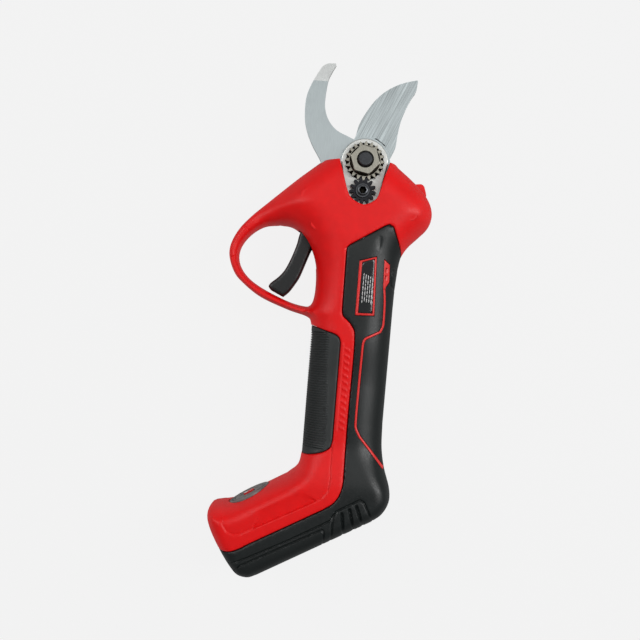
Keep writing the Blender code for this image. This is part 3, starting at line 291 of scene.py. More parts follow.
# --- Distances and the shell's shape ---

def flat(points):
    return np.asarray(points, float).reshape(-1, 2)


def segments(loops, lines=()):
    """Start points and directions of all straight runs of closed loops and open lines."""
    rings, runs = [flat(loop) for loop in loops], [flat(line) for line in lines]
    a = np.concatenate(rings + [p[:-1] for p in runs])
    return a, np.concatenate([np.roll(p, -1, axis=0) for p in rings] + [p[1:] for p in runs]) - a


def distance(points, runs):
    """Distance from each point to the nearest of the straight runs."""
    p = flat(points)
    a, ab = runs
    length = np.maximum((ab * ab).sum(1), 1e-12)
    nearest = np.empty(len(p))
    for first in range(0, len(p), 2000):
        ap = p[first:first + 2000, None, :] - a[None]
        t = np.clip((ap * ab).sum(2) / length, 0, 1)
        away = ap - t[:, :, None] * ab
        nearest[first:first + 2000] = np.sqrt((away * away).sum(2).min(1))
    return nearest


def line_distance(points, line):
    return distance(points, segments([], [line]))


def inside(points, loop):
    """Whether each point is inside a closed loop."""
    p = flat(points)
    a = np.array(loop, float)
    b = np.roll(a, -1, axis=0)
    x, y = p[:, 0][:, None], p[:, 1][:, None]
    crosses = (a[:, 1] > y) != (b[:, 1] > y)
    rise = np.where(b[:, 1] == a[:, 1], 1e-9, b[:, 1] - a[:, 1])
    return (crosses & (x < a[:, 0] + (y - a[:, 1]) * (b[:, 0] - a[:, 0]) / rise)).sum(1) % 2 == 1


def ease(value, low, high):
    t = np.clip((value - low) / (high - low), 0, 1)
    return t * t * (3 - 2 * t)


SHELL_RUNS = segments([SHELL_LOOP, HOLE_LOOP])
CORE_RUNS = segments([CORE_LOOP])


def shell_height(points, inset=0.0):
    """Half thickness of the shell at each point, with its rounded sides."""
    p = flat(points)
    x, y = p[:, 0], p[:, 1]
    neck, handle, foot = ease(-y, 40, 95), ease(-y, 95, 125), ease(-y, 155, 182)
    half = mix(mix(mix(HEAD_HALF, NECK_HALF, neck), HANDLE_HALF, handle), HEAD_HALF, foot)
    rounding = mix(mix(HEAD_ROUND, HANDLE_ROUND, neck), FOOT_ROUND, foot)
    low_side = ease(-y, 50, 78)
    start, end = mix(*GUARD_START, low_side), mix(*GUARD_END, low_side)
    guard = ease(start - x, 0, start - end) * ease(y, -150, -120)
    half, rounding = mix(half, GUARD_HALF, guard), mix(rounding, GUARD_ROUND, guard)
    depth = np.clip((distance(p, SHELL_RUNS) - inset) / rounding, 0, 1)
    side = 1 - (1 - depth) ** SIDE_POWER
    return LAND + (half - LAND - inset) * side ** (1 / SIDE_POWER)


def inner_height(points):
    """Height of the shell's inner face; it comes down to the seam where the shell is solid."""
    room = distance(points, CORE_RUNS) * inside(points, CORE_LOOP)
    return SEAM + (shell_height(points, WALL) - SEAM) * ease(room, WALL - 0.9, WALL)


def rounding_drop(away, radius):
    """How far a rounded edge lies under the face, a distance away from the edge."""
    short = np.clip(radius - away, 0, radius)
    return radius - np.sqrt(radius ** 2 - short ** 2)


def groove(points, line, depth, width):
    return depth * np.clip(1 - line_distance(points, line) / (width / 2), 0, 1) ** 0.8


def toe_details(points):
    """Depth of what is moulded into the red shell."""
    panel = TOE_STEP + [(-30, -150), (-80, -150), (-80, -190)]
    within = np.where(inside(points, panel), 1.0, -1.0) * line_distance(points, TOE_STEP)
    lowered = ease(within, -0.1, 0.4)
    depth = 0.5 * lowered + 0.45 * np.exp(-(within / 0.35) ** 2)
    within_facet = np.where(inside(points, TOE_FACET), line_distance(points, TOE_FACET), 0)
    sunk = 0.2 + 0.09 * line_distance(points, TOE_FACET[1:4])
    depth += sunk * ease(within_facet, 0, 0.5) * lowered
    depth += groove(points, GUARD_SEAM, 0.3, 0.7)
    depth -= 0.25 * np.clip(1.6 - line_distance(points, STRIP_LINE) / 0.35, 0, 1)
    return depth - 0.3 * strip_marks(points)


def strip_marks(points):
    """Slanted bars raised along the red strip beside the front grip."""
    p = np.asarray(points, float)
    place = (p[:, 1] + 102.5) / MARK_PITCH + 0.12 * (p[:, 0] + 2)
    across = 1 - ease(np.abs(np.mod(place, 1) - 0.5), 0.16, 0.24)
    ends = ease(-p[:, 1], 103, 103.4) * (1 - ease(-p[:, 1], 148.4, 148.8))
    return across * ends * (1 - ease(np.abs(p[:, 0] + 1.6), 1.2, 1.5))


# Line, depth and width of each
COVER_GROOVES = [(BASE_GROOVE, 0.8, 1.5), (SOLE_GROOVE, 0.8, 1.3), (HEEL_BLOCK, 0.9, 1.6),
                 *[(slot, 1.4, 2.0) for slot in HEEL_SLOTS], (NECK_MARK, 1.5, 1.7)]


def cover_details(points):
    """Depth of what is moulded into the black shell."""
    depth = sum(groove(points, *each) for each in COVER_GROOVES)
    along = np.clip((-41 - np.asarray(points)[:, 1]) / 8.5, 0, 1)
    crease = np.clip(1 - line_distance(points, CREASE) / 1.6, 0, 1)
    return depth + 0.5 * crease * np.sin(pi * along)


# --- Solids ---

def added(name, data):
    item = bpy.data.objects.new(name, data)
    bpy.context.scene.collection.objects.link(item)
    return item


def make_object(name, verts, faces):
    """An object from points in the design frame, placed in the CAD's frame."""
    mesh = bpy.data.meshes.new(name)
    lifted = (np.array(verts, float) + (0, 0, MID)) * MM
    mesh.from_pydata(lifted.tolist(), [], faces)
    mesh.validate()
    mesh.shade_smooth()
    return added(name, mesh)


def triangulated(loops, lines, fill):
    """Points and triangles of a flat map that keeps all the loops and lines as edges."""
    points, edges = [], []
    for k, line in enumerate((*loops, *lines)):
        first, count = len(points), len(line)
        points += [tuple(p) for p in line]
        edges += [(j, j + 1) for j in range(first, first + count - 1)]
        if k < len(loops):
            edges.append((first + count - 1, first))
    extra = flat(fill)
    if len(extra):
        extra = extra[distance(extra, segments(loops, lines)) > KEEP_OFF]
        points += [tuple(p) for p in extra]
    verts, _, faces, *_ = delaunay_2d_cdt([Vector(p) for p in points], edges, [], 0, 1e-4)
    return np.array([tuple(p) for p in verts]), np.array([list(face) for face in faces])


def on_flat(value, points):
    return value(points) if callable(value) else np.full(len(points), float(value))


def region(name, loops, lines, is_kept, bottom, top, fill=()):
    """A closed solid over the triangles of a flat map that are kept, between two heights."""
    plan, faces = triangulated(loops, lines, fill)
    faces = faces[is_kept(plan[faces].mean(1))]
    used = np.unique(faces)
    faces = np.searchsorted(used, faces)
    plan = plan[used]
    count = len(plan)
    low = np.column_stack((plan, on_flat(bottom, plan)))
    high = np.column_stack((plan, on_flat(top, plan)))
    sides = {(int(a), int(b)) for f in faces for a, b in ((f[0], f[1]), (f[1], f[2]), (f[2], f[0]))}
    walls = [(a, b, b + count, a + count) for a, b in sides if (b, a) not in sides]
    upper = (faces + count).tolist()
    lower = faces[:, ::-1].tolist()
    return make_object(name, np.concatenate((low, high)), upper + lower + walls)


def slab(name, loops, bottom, top, fill=(), lines=()):
    """A closed solid over an outline with holes; loops[0] is the outline, lines are extra edges."""
    def is_kept(points):
        kept = inside(points, loops[0])
        for loop in loops[1:]:
            kept &= ~inside(points, loop)
        return kept
    return region(name, loops, lines, is_kept, bottom, top, fill)


def prism(name, loop, low, high):
    return slab(name, [loop], low, high)


def turned(name, profile, count=48, bored=False):
    """A solid of revolution about Z from (radius, height) points, outside going up.

    A bored one closes on itself, and any other has a flat cap at each end.
    """
    verts = [(*p, z) for r, z in profile for p in circle((0, 0), r, count)]
    faces = []
    for k in range(len(profile) if bored else len(profile) - 1):
        a, b = k * count, (k + 1) % len(profile) * count
        for j in range(count):
            i = (j + 1) % count
            faces.append((a + j, a + i, b + i, b + j))
    if not bored:
        faces += [tuple(range(count))[::-1], tuple(range(len(verts) - count, len(verts)))]
    return make_object(name, verts, faces)


def placed(item, matrix):
    """Turn and move a piece, in millimetres of the design frame."""
    lift = Matrix.Translation((0, 0, MID * MM))
    moved = Matrix.Translation(matrix.translation * MM) @ matrix.to_3x3().to_4x4()
    item.data.transform(lift @ moved @ lift.inverted())
    return item


def at(item, x, y):
    return placed(item, Matrix.Translation((x, y, 0)))


def on_foot(item, u, n, turn, axis):
    """Put a piece at a place along and across the foot, after a turn about an axis."""
    turned_there = Matrix.Rotation(FOOT_ANGLE, 4, "Z") @ Matrix.Rotation(turn, 4, axis)
    return placed(item, Matrix.Translation((*foot_point(u, n), 0)) @ turned_there)


def foot_top(item):
    """Stand a piece's own Z out of the foot's top face, at the button."""
    return on_foot(item, BUTTON_U, TOE_TOP_N, -pi / 2, "X")


def foot_front(item, u):
    """Lay a piece's own Z along the foot, at the charging port."""
    return on_foot(item, u, PORT_N, pi / 2, "Y")


def boolean(item, operation, *tools):
    for tool in tools:
        change = item.modifiers.new(tool.name, "BOOLEAN")
        change.object = tool
        change.operation = operation
        change.solver = "MANIFOLD"
    view = bpy.context.evaluated_depsgraph_get()
    result = bpy.data.meshes.new_from_object(item.evaluated_get(view))
    item.modifiers.clear()
    item.data = result
    for tool in tools:
        bpy.data.objects.remove(tool)
    return item


def cut(item, *tools):
    return boolean(item, "DIFFERENCE", *tools)


def crisp(item, angle=32):
    item.data.shade_smooth()
    item.data.set_sharp_from_angle(angle=radians(angle))
    return item


def bevel(item, width, count=3, angle=35):
    """Round a piece's sharp edges."""
    change = item.modifiers.new("rounding", "BEVEL")
    change.width = width * MM
    change.segments = count
    change.limit_method = "ANGLE"
    change.angle_limit = radians(angle)
    change.harden_normals = True
    change.use_clamp_overlap = True
    item.data.shade_smooth()
    return item


def finish(item, slot, look, *nodes, body="housing"):
    """Give a piece its material and let it ride on its body and stand for its CAD nodes."""
    item.data.materials.clear()
    item.data.materials.append(MATERIALS[look])
    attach(item, body)
    if nodes:
        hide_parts(*nodes)
    return item


# --- Materials ---

NOISE_RANGE = (0.3, 0.7)


def set_inputs(node, values):
    for name, value in values.items():
        node.inputs[name.replace("_", " ")].default_value = value
    return node


class Look:
    """A procedural material, built up from a few kinds of texture."""

    def __init__(self, name, colour, roughness, metallic=0.0, edge=0.0):
        self.name = name
        self.material = bpy.data.materials.new(f"{name}_look")
        self.material.use_nodes = True
        self.nodes = self.material.node_tree.nodes
        self.links = self.material.node_tree.links
        self.shader = self.nodes["Principled BSDF"]
        self.set(Base_Color=(*colour, 1), Roughness=roughness, Metallic=metallic)
        self.place = self.nodes.new("ShaderNodeTexCoord").outputs["Object"]
        self.normal = None
        if edge:
            soft = self.node("Bevel", Radius=edge * MM)
            soft.samples = 4
            self.bend(soft)

    def node(self, kind, **values):
        """A new node with its inputs set; _ stands for a space in their names."""
        return set_inputs(self.nodes.new(f"ShaderNode{kind}"), values)

    def set(self, **values):
        set_inputs(self.shader, values)
        return self

    def bend(self, node):
        """Take the surface's normal from a node."""
        self.normal = node.outputs["Normal"]
        self.links.new(self.normal, self.shader.inputs["Normal"])
        return self

    def noise(self, size, detail=3.0, stretch=(1, 1, 1), turn=0.0):
        """Noise with grains of a size in millimetres, stretched along turned axes."""
        where = self.node("Mapping", Rotation=(0, 0, radians(turn)), Scale=stretch)
        where.vector_type = "TEXTURE"
        self.links.new(self.place, where.inputs["Vector"])
        made = self.node("TexNoise", Scale=1 / (size * MM), Detail=detail, Roughness=0.55)
        self.links.new(where.outputs["Vector"], made.inputs["Vector"])
        return made.outputs["Fac"]

    def ranged(self, value, low, high, source=NOISE_RANGE):
        made = self.node("MapRange", From_Min=source[0], From_Max=source[1], To_Min=low,
                         To_Max=high)
        self.links.new(value, made.inputs["Value"])
        return made.outputs["Result"]

    def colours(self, value, low, high):
        """Blend the base colour between two colours."""
        made = self.node("ValToRGB")
        for stop, where, colour in zip(made.color_ramp.elements, NOISE_RANGE, (low, high)):
            stop.position = where
            stop.color = (*colour, 1)
        self.links.new(value, made.inputs["Fac"])
        self.links.new(made.outputs["Color"], self.shader.inputs["Base Color"])

    def roughness(self, value, low, high):
        self.links.new(self.ranged(value, low, high), self.shader.inputs["Roughness"])

    def bump(self, value, depth):
        """Bump of a depth in millimetres."""
        made = self.node("Bump", Distance=depth * MM, Strength=1)
        self.links.new(value, made.inputs["Height"])
        if self.normal:
            self.links.new(self.normal, made.inputs["Normal"])
        return self.bend(made)

    def beyond(self, y, colour):
        """Another colour past a place along the Y axis, in millimetres."""
        parts = self.node("SeparateXYZ")
        self.links.new(self.place, parts.inputs[0])
        share = self.ranged(parts.outputs["Y"], 0, 1, ((y - 0.2) * MM, (y + 0.2) * MM))
        mixed = self.node("MixRGB", Color2=(*colour, 1))
        before = self.shader.inputs["Base Color"].links[0].from_socket
        self.links.new(share, mixed.inputs["Fac"])
        self.links.new(before, mixed.inputs["Color1"])
        self.links.new(mixed.outputs["Color"], self.shader.inputs["Base Color"])
        return self


def scaled(colour, share):
    return tuple(c * share for c in colour)


def plastic(name, colour, roughness, grain=0.45, depth=0.02, spread=0.05, edge=0.35):
    """Moulded plastic or rubber with a fine spark-eroded grain."""
    look = Look(name, colour, roughness, 0.0, edge)
    look.colours(look.noise(6.0, 4), scaled(colour, 1 - spread), scaled(colour, 1 + spread))
    look.roughness(look.noise(grain * 1.6), roughness - 0.07, roughness + 0.09)
    return look.bump(look.noise(grain, 2), depth)


def steel(name, colour, roughness, turn, stretch, spread, depth, grain=0.35):
    """Metal with fine grinding lines in one direction."""
    look = Look(name, colour, roughness, 1.0)
    lines = look.noise(grain, 4, (1, stretch, stretch), turn)
    look.colours(lines, scaled(colour, 1 - spread), scaled(colour, 1 + spread))
    look.roughness(look.noise(grain * 1.5, 3, (1, stretch, stretch), turn), roughness - 0.08,
                   roughness + 0.1)
    return look.bump(lines, depth)


RED = (0.76, 0.003, 0.0035)
RUBBER = (0.0035, 0.006, 0.006)
STEEL = (0.5, 0.555, 0.565)

LOOKS = [
    plastic("red_shell", RED, 0.42, 0.5, 0.05).set(Specular_IOR_Level=0.32),
    plastic("red_trim", (0.72, 0.02, 0.018), 0.38, 0.4, 0.01, edge=0.2),
    plastic("black_rubber", RUBBER, 0.4, 0.45, 0.04, 0.12),
    plastic("ribbed_rubber", (0.019, 0.022, 0.022), 0.5, 0.4, 0.015, 0.12, edge=0.1),
    plastic("black_plastic", (0.004, 0.0055, 0.0058), 0.4, 0.5, 0.015, 0.1),
    plastic("grey_plastic", (0.17, 0.155, 0.15), 0.4, 0.4, 0.01, 0.1),
    steel("hook_steel", STEEL, 0.42, 0, 14, 0.05, 0.0005).beyond(GROUND_Y, (0.78, 0.8, 0.79)),
    steel("blade_steel", STEEL, 0.36, -24, 60, 0.3, 0.012, 0.5),
    steel("plate_steel", (0.74, 0.75, 0.72), 0.4, 60, 10, 0.06, 0.003),
    steel("nut_steel", (0.42, 0.405, 0.345), 0.34, 20, 8, 0.14, 0.006),
    steel("black_steel", (0.035, 0.035, 0.04), 0.34, 0, 4, 0.2, 0.006),
    steel("hub_steel", (0.11, 0.115, 0.125), 0.3, 0, 4, 0.2, 0.006),
    # Painted shade: a near-black steel put where only shade falls, under and between the gear nut's
    # teeth, around the nut's hexagon and in the lock screw's socket
    steel("painted_shade", (0.02, 0.018, 0.014), 0.6, 0, 2, 0.2, 0.006),
    steel("bolt_steel", (0.062, 0.065, 0.07), 0.45, 0, 3, 0.2, 0.01),
    steel("bright_steel", (0.6, 0.6, 0.62), 0.25, 0, 30, 0.08, 0.003),
    steel("cast_alloy", (0.4, 0.41, 0.42), 0.55, 0, 1.5, 0.12, 0.03),
    steel("bronze", (0.5, 0.33, 0.14), 0.4, 0, 10, 0.12, 0.01),
    steel("copper", (0.6, 0.25, 0.12), 0.35, 90, 60, 0.25, 0.08),
    plastic("board_green", (0.015, 0.12, 0.05), 0.4, 1.5, 0.02, 0.3),
    plastic("cell_wrap", (0.04, 0.16, 0.42), 0.3, 3.0, 0.01, 0.06),
    plastic("red_lens", (0.7, 0.03, 0.03), 0.2, 0.5, 0.004, 0.05, edge=0.15),
    plastic("white_mark", (0.75, 0.75, 0.75), 0.35, 0.5, 0.004, 0.03, edge=0.1),
    plastic("label_print", (0.012, 0.013, 0.015), 0.12, 0.5, 0.002, edge=0.1).set(
        Coat_Weight=0.6, Coat_Roughness=0.05),
]
MATERIALS = {look.name: look.material for look in LOOKS}


# --- Shells ---

def outline_rows():
    """Inner points that follow the shell's outline, then an even grid."""
    found = []
    for depth in ROW_DEPTHS:
        rows = np.array(shifted(SHELL_LOOP + SHELL_LOOP[:1], depth)
                        + shifted(HOLE_LOOP + HOLE_LOOP[:1], depth))
        found.append(rows[distance(rows, SHELL_RUNS) > 0.97 * depth])
    xs, ys = np.arange(-75, 45, GRID), np.arange(-240, 20, GRID * 0.87)
    grid = np.array([(x + (k % 2) * GRID / 2, y) for k, y in enumerate(ys) for x in xs])
    grid = grid[inside(grid, SHELL_LOOP) & ~inside(grid, HOLE_LOOP)]
    found.append(grid[distance(grid, SHELL_RUNS) > ROW_DEPTHS[-1] + GRID * 0.45])
    return np.concatenate(found)


def beside(line, offsets, step=0.8):
    """Rows of points along a line, a few distances to each side."""
    fine = straight(line, step)
    return np.concatenate([np.array(shifted(fine, offset)) for offset in offsets])


OUTLINE_ROWS = outline_rows()
GROOVE_OFFSETS = (-1.2, -0.75, -0.4, 0.0, 0.4, 0.75, 1.2)
STRIP_GRID = [(x, y) for x in np.arange(-5.4, 1.2, 0.45) for y in np.arange(-151, -100.5, 0.6)]
TOE_ROWS = np.concatenate([OUTLINE_ROWS, beside(TOE_STEP, (-0.9, -0.55, -0.3, -0.1, 0.1, 0.3, 0.55,
                                                           0.9, 1.4), 0.6),
                           beside(TOE_FACET, (-0.1, 0.1, 1.0), 0.6),
                           beside(GUARD_SEAM, (-0.4, -0.2, 0, 0.2, 0.4), 0.5), STRIP_GRID])
COVER_ROWS = np.concatenate([OUTLINE_ROWS] + [beside(line, GROOVE_OFFSETS) for line in
                            (BASE_GROOVE, SOLE_GROOVE, HEEL_BLOCK, NECK_MARK, CREASE)
                            + HEEL_SLOTS])


def thinned(points, spacing=0.3):
    """Points without near repeats."""
    cells = np.round(np.asarray(points) / spacing).astype(int)
    _, first = np.unique(cells, axis=0, return_index=True)
    return np.asarray(points)[np.sort(first)]


def surface(points, details):
    """Height of the shell's face with what is moulded into it."""
    height = shell_height(points)
    return height - details(points) * np.clip((height - LAND) / 6, 0, 1)


def close_rows(pairs, runs):
    """Rows to both sides of lines, each given with its distance, left out where they fold over."""
    rows = [(np.array(shifted(line, way)), row) for line, row in pairs for way in (-row, row)]
    return [p[distance(p, runs) > 0.9 * row] for p, row in rows]


def shell_part(name, side, borders, is_kept, details, fill):
    """One shell on one side of the mid-plane; its edges along the borders are rounded."""
    runs = segments([], borders)
    pairs = [(border, row) for border in borders for row in EDGE_ROWS]
    fill = thinned(np.concatenate([fill] + close_rows(pairs, runs)))

    def within(points):
        kept = inside(points, SHELL_LOOP) & ~inside(points, HOLE_LOOP)
        return kept & is_kept(points)

    def outer(points):
        height = surface(points, details) - rounding_drop(distance(points, runs), EDGE_ROUND)
        return side * np.maximum(height, SEAM + 0.3)

    def inner(points):
        return side * np.minimum(inner_height(points), np.abs(outer(points)) - 0.1)
    low, high = (inner, outer) if side > 0 else (outer, inner)
    loops = [SHELL_LOOP, HOLE_LOOP]
    return region(name, loops, borders, within, low, high, fill[within(fill)])


def on_side(side, low, high):
    """A range of heights, mirrored for the left side."""
    return (low, high) if side > 0 else (-high, -low)


def post(name, place, radius, low, high):
    return at(turned(name, ((radius, low), (radius, high)), 28), *place)


def height_at(place):
    return float(shell_height([place])[0])


def screw_parts(name, side, screws):
    """Columns for the housing screws, and the holes in them."""
    columns, holes = [], []
    for k, place in enumerate(screws):
        heights = on_side(side, SEAM, height_at(place) - 1.2)
        columns.append(post(f"{name}_boss_{k}", place, BOSS_RADIUS, *heights))
        if side > 0:
            holes.append(post(f"{name}_pilot_{k}", place, SCREW_RADIUS, -3, 11))
        else:
            under_head = 1.5 + 2.4 + GAP - height_at(place)
            holes.append(post(f"{name}_clear_{k}", place, SCREW_RADIUS, -23, 3))
            holes.append(post(f"{name}_pocket_{k}", place, POCKET_RADIUS, -40, under_head))
    return columns, holes


PIN_BOSS_Z = {1: (6.2, 20.0), -1: (-20.0, -9.5)}
TRIGGER_ROOM = [(-34.2, -44), (-33.4, -38), (-29.8, -34.6), (-26.5, -32), (-18, -32), (-18, -60),
                (-27, -62), (-34.6, -52)]
BLADE_SLOT = rectangle(-45, -9, 16, 40)


def housing(side, name):
    window, mouth = curve(WINDOW, 1.2), straight(MOUTH, STEP)
    cover, grip = cover_line(GAP), grip_line(GAP)
    left_out = [cover_loop(GAP), window + [(14.1, 20), (-14.1, 20)],
                grip + [(-40, grip[-1][1]), (-40, grip[0][1])], mouth + [(60, 40), (-60, 40)]]

    def is_kept(points):
        return ~np.any([inside(points, loop) for loop in left_out], axis=0)
    shell = shell_part(name, side, [cover, grip, window, mouth], is_kept, toe_details, TOE_ROWS)
    columns, holes = screw_parts(name, side, SCREWS[:4])
    lug = prism(f"{name}_lug", rounded(LUG, 1.5), *on_side(side, SEAM, 4.0))
    pin_boss = post(f"{name}_pin_boss", TRIGGER_PIVOT, BOSS_RADIUS, *PIN_BOSS_Z[side])
    boolean(shell, "UNION", lug, *columns, pin_boss)
    hub_room = turned(f"{name}_hub", ((HUB_RADIUS + 0.6, -19), (HUB_RADIUS + 0.6, 12.5)), 64)
    room = prism(f"{name}_trigger_room", TRIGGER_ROOM, -TRIGGER_HALF - 0.8, TRIGGER_HALF + 0.8)
    button = turned(f"{name}_button_hole", ((BEZEL_RADIUS + GAP, -6), (BEZEL_RADIUS + GAP, 6)), 64)
    tools = [hub_room, room, foot_top(button),
             post(f"{name}_pin_hole", TRIGGER_PIVOT, TRIGGER_PIN_RADIUS + GAP, -11.5, 9.5)]
    if side > 0:
        tools.append(prism(f"{name}_slot", BLADE_SLOT, MOVING_BLADE_Z[0] - GAP, 11.5))
    cut(shell, *tools, *holes)
    return finish(crisp(shell), "red_plastic", "red_shell", name)


def ribbon(points, width):
    return shifted(points, width / 2) + shifted(points, -width / 2)[::-1]


def grown(loop, away):
    """A small convex loop with each corner moved away from its middle."""
    p = np.array(loop)
    out = p - p.mean(0)
    return [tuple(q) for q in p + away * 1.4 * out / np.linalg.norm(out, axis=1)[:, None]]


def inlay(name, loops, side, low, high, edge=0.0, fill=()):
    """A thin solid on the black shell's face, between two heights from it, with rounded edges."""
    runs = segments(loops)
    lines = [straight(loop + loop[:1], 1.2) for loop in loops]
    pairs = [(line, row) for row in INLAY_ROWS for line in lines]
    extra = thinned(np.concatenate(close_rows(pairs, runs) + [flat(fill)]), 0.2)
    extra = extra[inside(extra, loops[0])]

    def under(points):
        return side * (surface(points, cover_details) + low)

    def over(points):
        drop = rounding_drop(distance(points, runs), edge) if edge else 0
        return side * (surface(points, cover_details) + high - drop)
    bounds = (under, over) if side > 0 else (over, under)
    return slab(name, [line[:-1] for line in lines], *bounds, extra)


GEARBOX_ROOM = rectangle(-15.5, -50, 15.5, -25)


def seal(name, line):
    """A strip inside the shells that closes the gap along a border, clear of the gearbox."""
    wide = np.array(straight(line, 1.5))
    line = [tuple(p) for p in wide[(distance(wide, SHELL_RUNS) > 2.2) & inside(wide, SHELL_LOOP)]]
    strip = prism(name, ribbon(line, 2.4), -0.5, 0.5)
    cut(strip, prism(f"{name}_gearbox", GEARBOX_ROOM, -2, 2))
    finish(strip, "black_rubber", "black_rubber")


def trim_loop(width):
    return ribbon(joined(TRIM, 1.2), width)


def rear_cover(side, name):
    def is_kept(points):
        return inside(points, cover_loop(0))
    shell = shell_part(name, side, [cover_line(0)], is_kept, cover_details, COVER_ROWS)
    columns, holes = screw_parts(name, side, SCREWS[4:])
    boolean(shell, "UNION", *columns)
    port = prism(f"{name}_port_hole", oblong(6.3, 4.8, 1.2), -6, 6)
    tools = [foot_front(port, -163.5),
             inlay(f"{name}_trim_groove", [trim_loop(1.55)], side, -1.1, 4),
             inlay(f"{name}_badge_groove", [grown(TRIM_BADGE, GAP)], side, -1.1, 4)]
    if side > 0:
        tools.append(inlay(f"{name}_label_pocket", [grown(LABEL_FRAME, GAP)], side, -1.3, 4))
    cut(shell, *tools, *holes)
    return finish(crisp(shell), "black_rubber", "black_rubber", name)


DIMPLE = [(-0.9, 1.5), (-0.9, -1.5), (0.9, -1.1), (0.9, 0.9)]
DIMPLE_PLACES = ((16.7, -59.6), (16.7, -63.8))


def trims(side, word):
    line = inlay(f"trim_{word}", [trim_loop(1.25)], side, -0.8, 0.18, 0.4)
    finish(crisp(line, 60), "red_plastic", "red_trim", f"trim_line_{word}")
    badge = inlay(f"badge_{word}", [TRIM_BADGE], side, -0.8, 0.2, 0.35,
                  [(x, y) for x in (16, 16.8, 17.4) for y in np.arange(-70, -55, 1.2)])
    for k, place in enumerate(DIMPLE_PLACES):
        loop = [(x + place[0], y + place[1]) for x, y in DIMPLE]
        top = height_at(place)
        heights = on_side(side, top - 0.25, top + 3)
        cut(badge, prism(f"badge_dimple_{word}_{k}", loop, *heights))
    finish(crisp(badge, 60), "red_plastic", "red_trim", f"trim_badge_{word}")


DASH_COLUMNS = 5
DASH_X = (3.9, 8.9)            # first and last column
DASH_Y = (-62.3, -77.0)        # where the dashes begin and end
DASH_WIDTH = 0.36
DASH_GAP = 0.45


def label():
    """A dark panel in a red frame, with columns of plain dashes of varied length."""
    border = inlay("label_border", [LABEL_FRAME, grown(LABEL, GAP)], 1, -1.0, 0.2, 0.4)
    finish(crisp(border, 60), "red_plastic", "red_trim", "label_frame")
    middle = [(x, y) for x in np.arange(3.4, 10, 1.5) for y in np.arange(-82.5, -55, 2)]
    panel = inlay("label_plate", [LABEL], 1, -1.0, -0.1, 0.1, middle)
    finish(crisp(panel, 60), "label_face", "label_print", "label_panel")
    for column in range(DASH_COLUMNS):
        x = mix(*DASH_X, column / (DASH_COLUMNS - 1))
        y = DASH_Y[0] - 0.5 * column
        k = 0
        while y > DASH_Y[1]:
            length = 1.2 + 1.3 * abs(sin(3.7 * k + 2.1 * column))
            dash = [(x, y), (x + DASH_WIDTH, y), (x + DASH_WIDTH, y - length), (x, y - length)]
            z = height_at((x, y)) - 0.08
            mark = prism(f"label_dash_{column}_{k}", dash, z - 0.2, z + 0.03)
            finish(mark, "label_face", "white_mark")
            y -= length + DASH_GAP
            k += 1


def grip_sink(points):
    """How deep the grooves between the ribs are at each point."""
    p = flat(points)
    x, y = p[:, 0], p[:, 1]
    reach = mix(13.0, 10.2, ease(-y, 105, 145))
    across = ease(-x, reach - 1.2, reach + 1.6)
    ends = ease(-y, 95.0, 97.0) * (1 - ease(-y, 159.0, 161.0))
    share = np.interp(np.mod(y / RIB_PITCH, 1), *zip(*RIB_PROFILE))
    return RIB_HEIGHT * (1 - share) * across * ends


def front_grip():
    border = joined(GRIP_BORDER, STEP)
    first = int(GRIP_Y[0] // RIB_PITCH)
    last = int(GRIP_Y[1] // RIB_PITCH) + 1
    ys = [RIB_PITCH * (k + stop) for k in range(first, last) for stop, _ in RIB_PROFILE]
    ys = [y for y in ys if -164.4 < y < -93.0]
    left = [(GRIP_X + float(grip_sink([(GRIP_X, y)])[0]), y) for y in ys]
    loop = border + left
    xs = [GRIP_X + 0.3 + d for d in ROW_DEPTHS] + list(np.arange(-15.2, -9.0, 1.3))
    fill = [(x, y) for x in xs for y in ys]
    fill += [(x, y) for x in np.arange(-9.0, -5, 1.0) for y in np.arange(-164, -93, 1.6)]
    fill += [p for d in EDGE_ROWS for p in shifted(border, -d)]
    fill = thinned(fill, 0.06)
    runs = segments([], [border])
    room = (fill[:, 0] > GRIP_X + 0.1 + grip_sink(fill)) & (distance(fill, runs) > 0.1)

    def face(points):
        height = shell_height(points, grip_sink(points))
        return np.maximum(height - rounding_drop(distance(points, runs), EDGE_ROUND), 0.4)
    grip = slab("ribbed_grip", [loop], lambda p: -face(p), face, fill[room & inside(fill, loop)])
    hollow = [(GRIP_X + WALL, -88), (5, -88), (5, -170), (GRIP_X + WALL, -170)]
    inner = slab("grip_room", [hollow], lambda p: -shell_height(p, WALL),
                 lambda p: shell_height(p, WALL), OUTLINE_ROWS[inside(OUTLINE_ROWS, hollow)])
    cut(grip, inner)
    finish(crisp(grip, 40), "black_rubber", "ribbed_rubber", "front_grip")


# --- Cutting head ---

def gear_loop(teeth, phase, thinning):
    """Outline of a spur gear with a tooth centred on the phase angle, in degrees."""
    pitch = teeth * MODULE / 2
    base = pitch * cos(PRESSURE_ANGLE)
    radii = [pitch + share * MODULE for share in (-1.2, -0.75, -0.3, 0.0, 0.45, 0.9)]
    halves = []
    for radius in radii:
        there = acos(min(1.0, base / max(radius, base)))
        opened = tan(PRESSURE_ANGLE) - PRESSURE_ANGLE - (tan(there) - there)
        halves.append(pi / (2 * teeth) - thinning / (2 * pitch) + opened)
    loop = []
    for k in range(teeth):
        middle = radians(phase) + 2 * pi * k / teeth
        flank = [(r, middle - h) for r, h in zip(radii, halves)]
        other = [(r, middle + h) for r, h in zip(reversed(radii), reversed(halves))]
        loop += [(r * cos(a), r * sin(a)) for r, a in flank + other]
    return loop


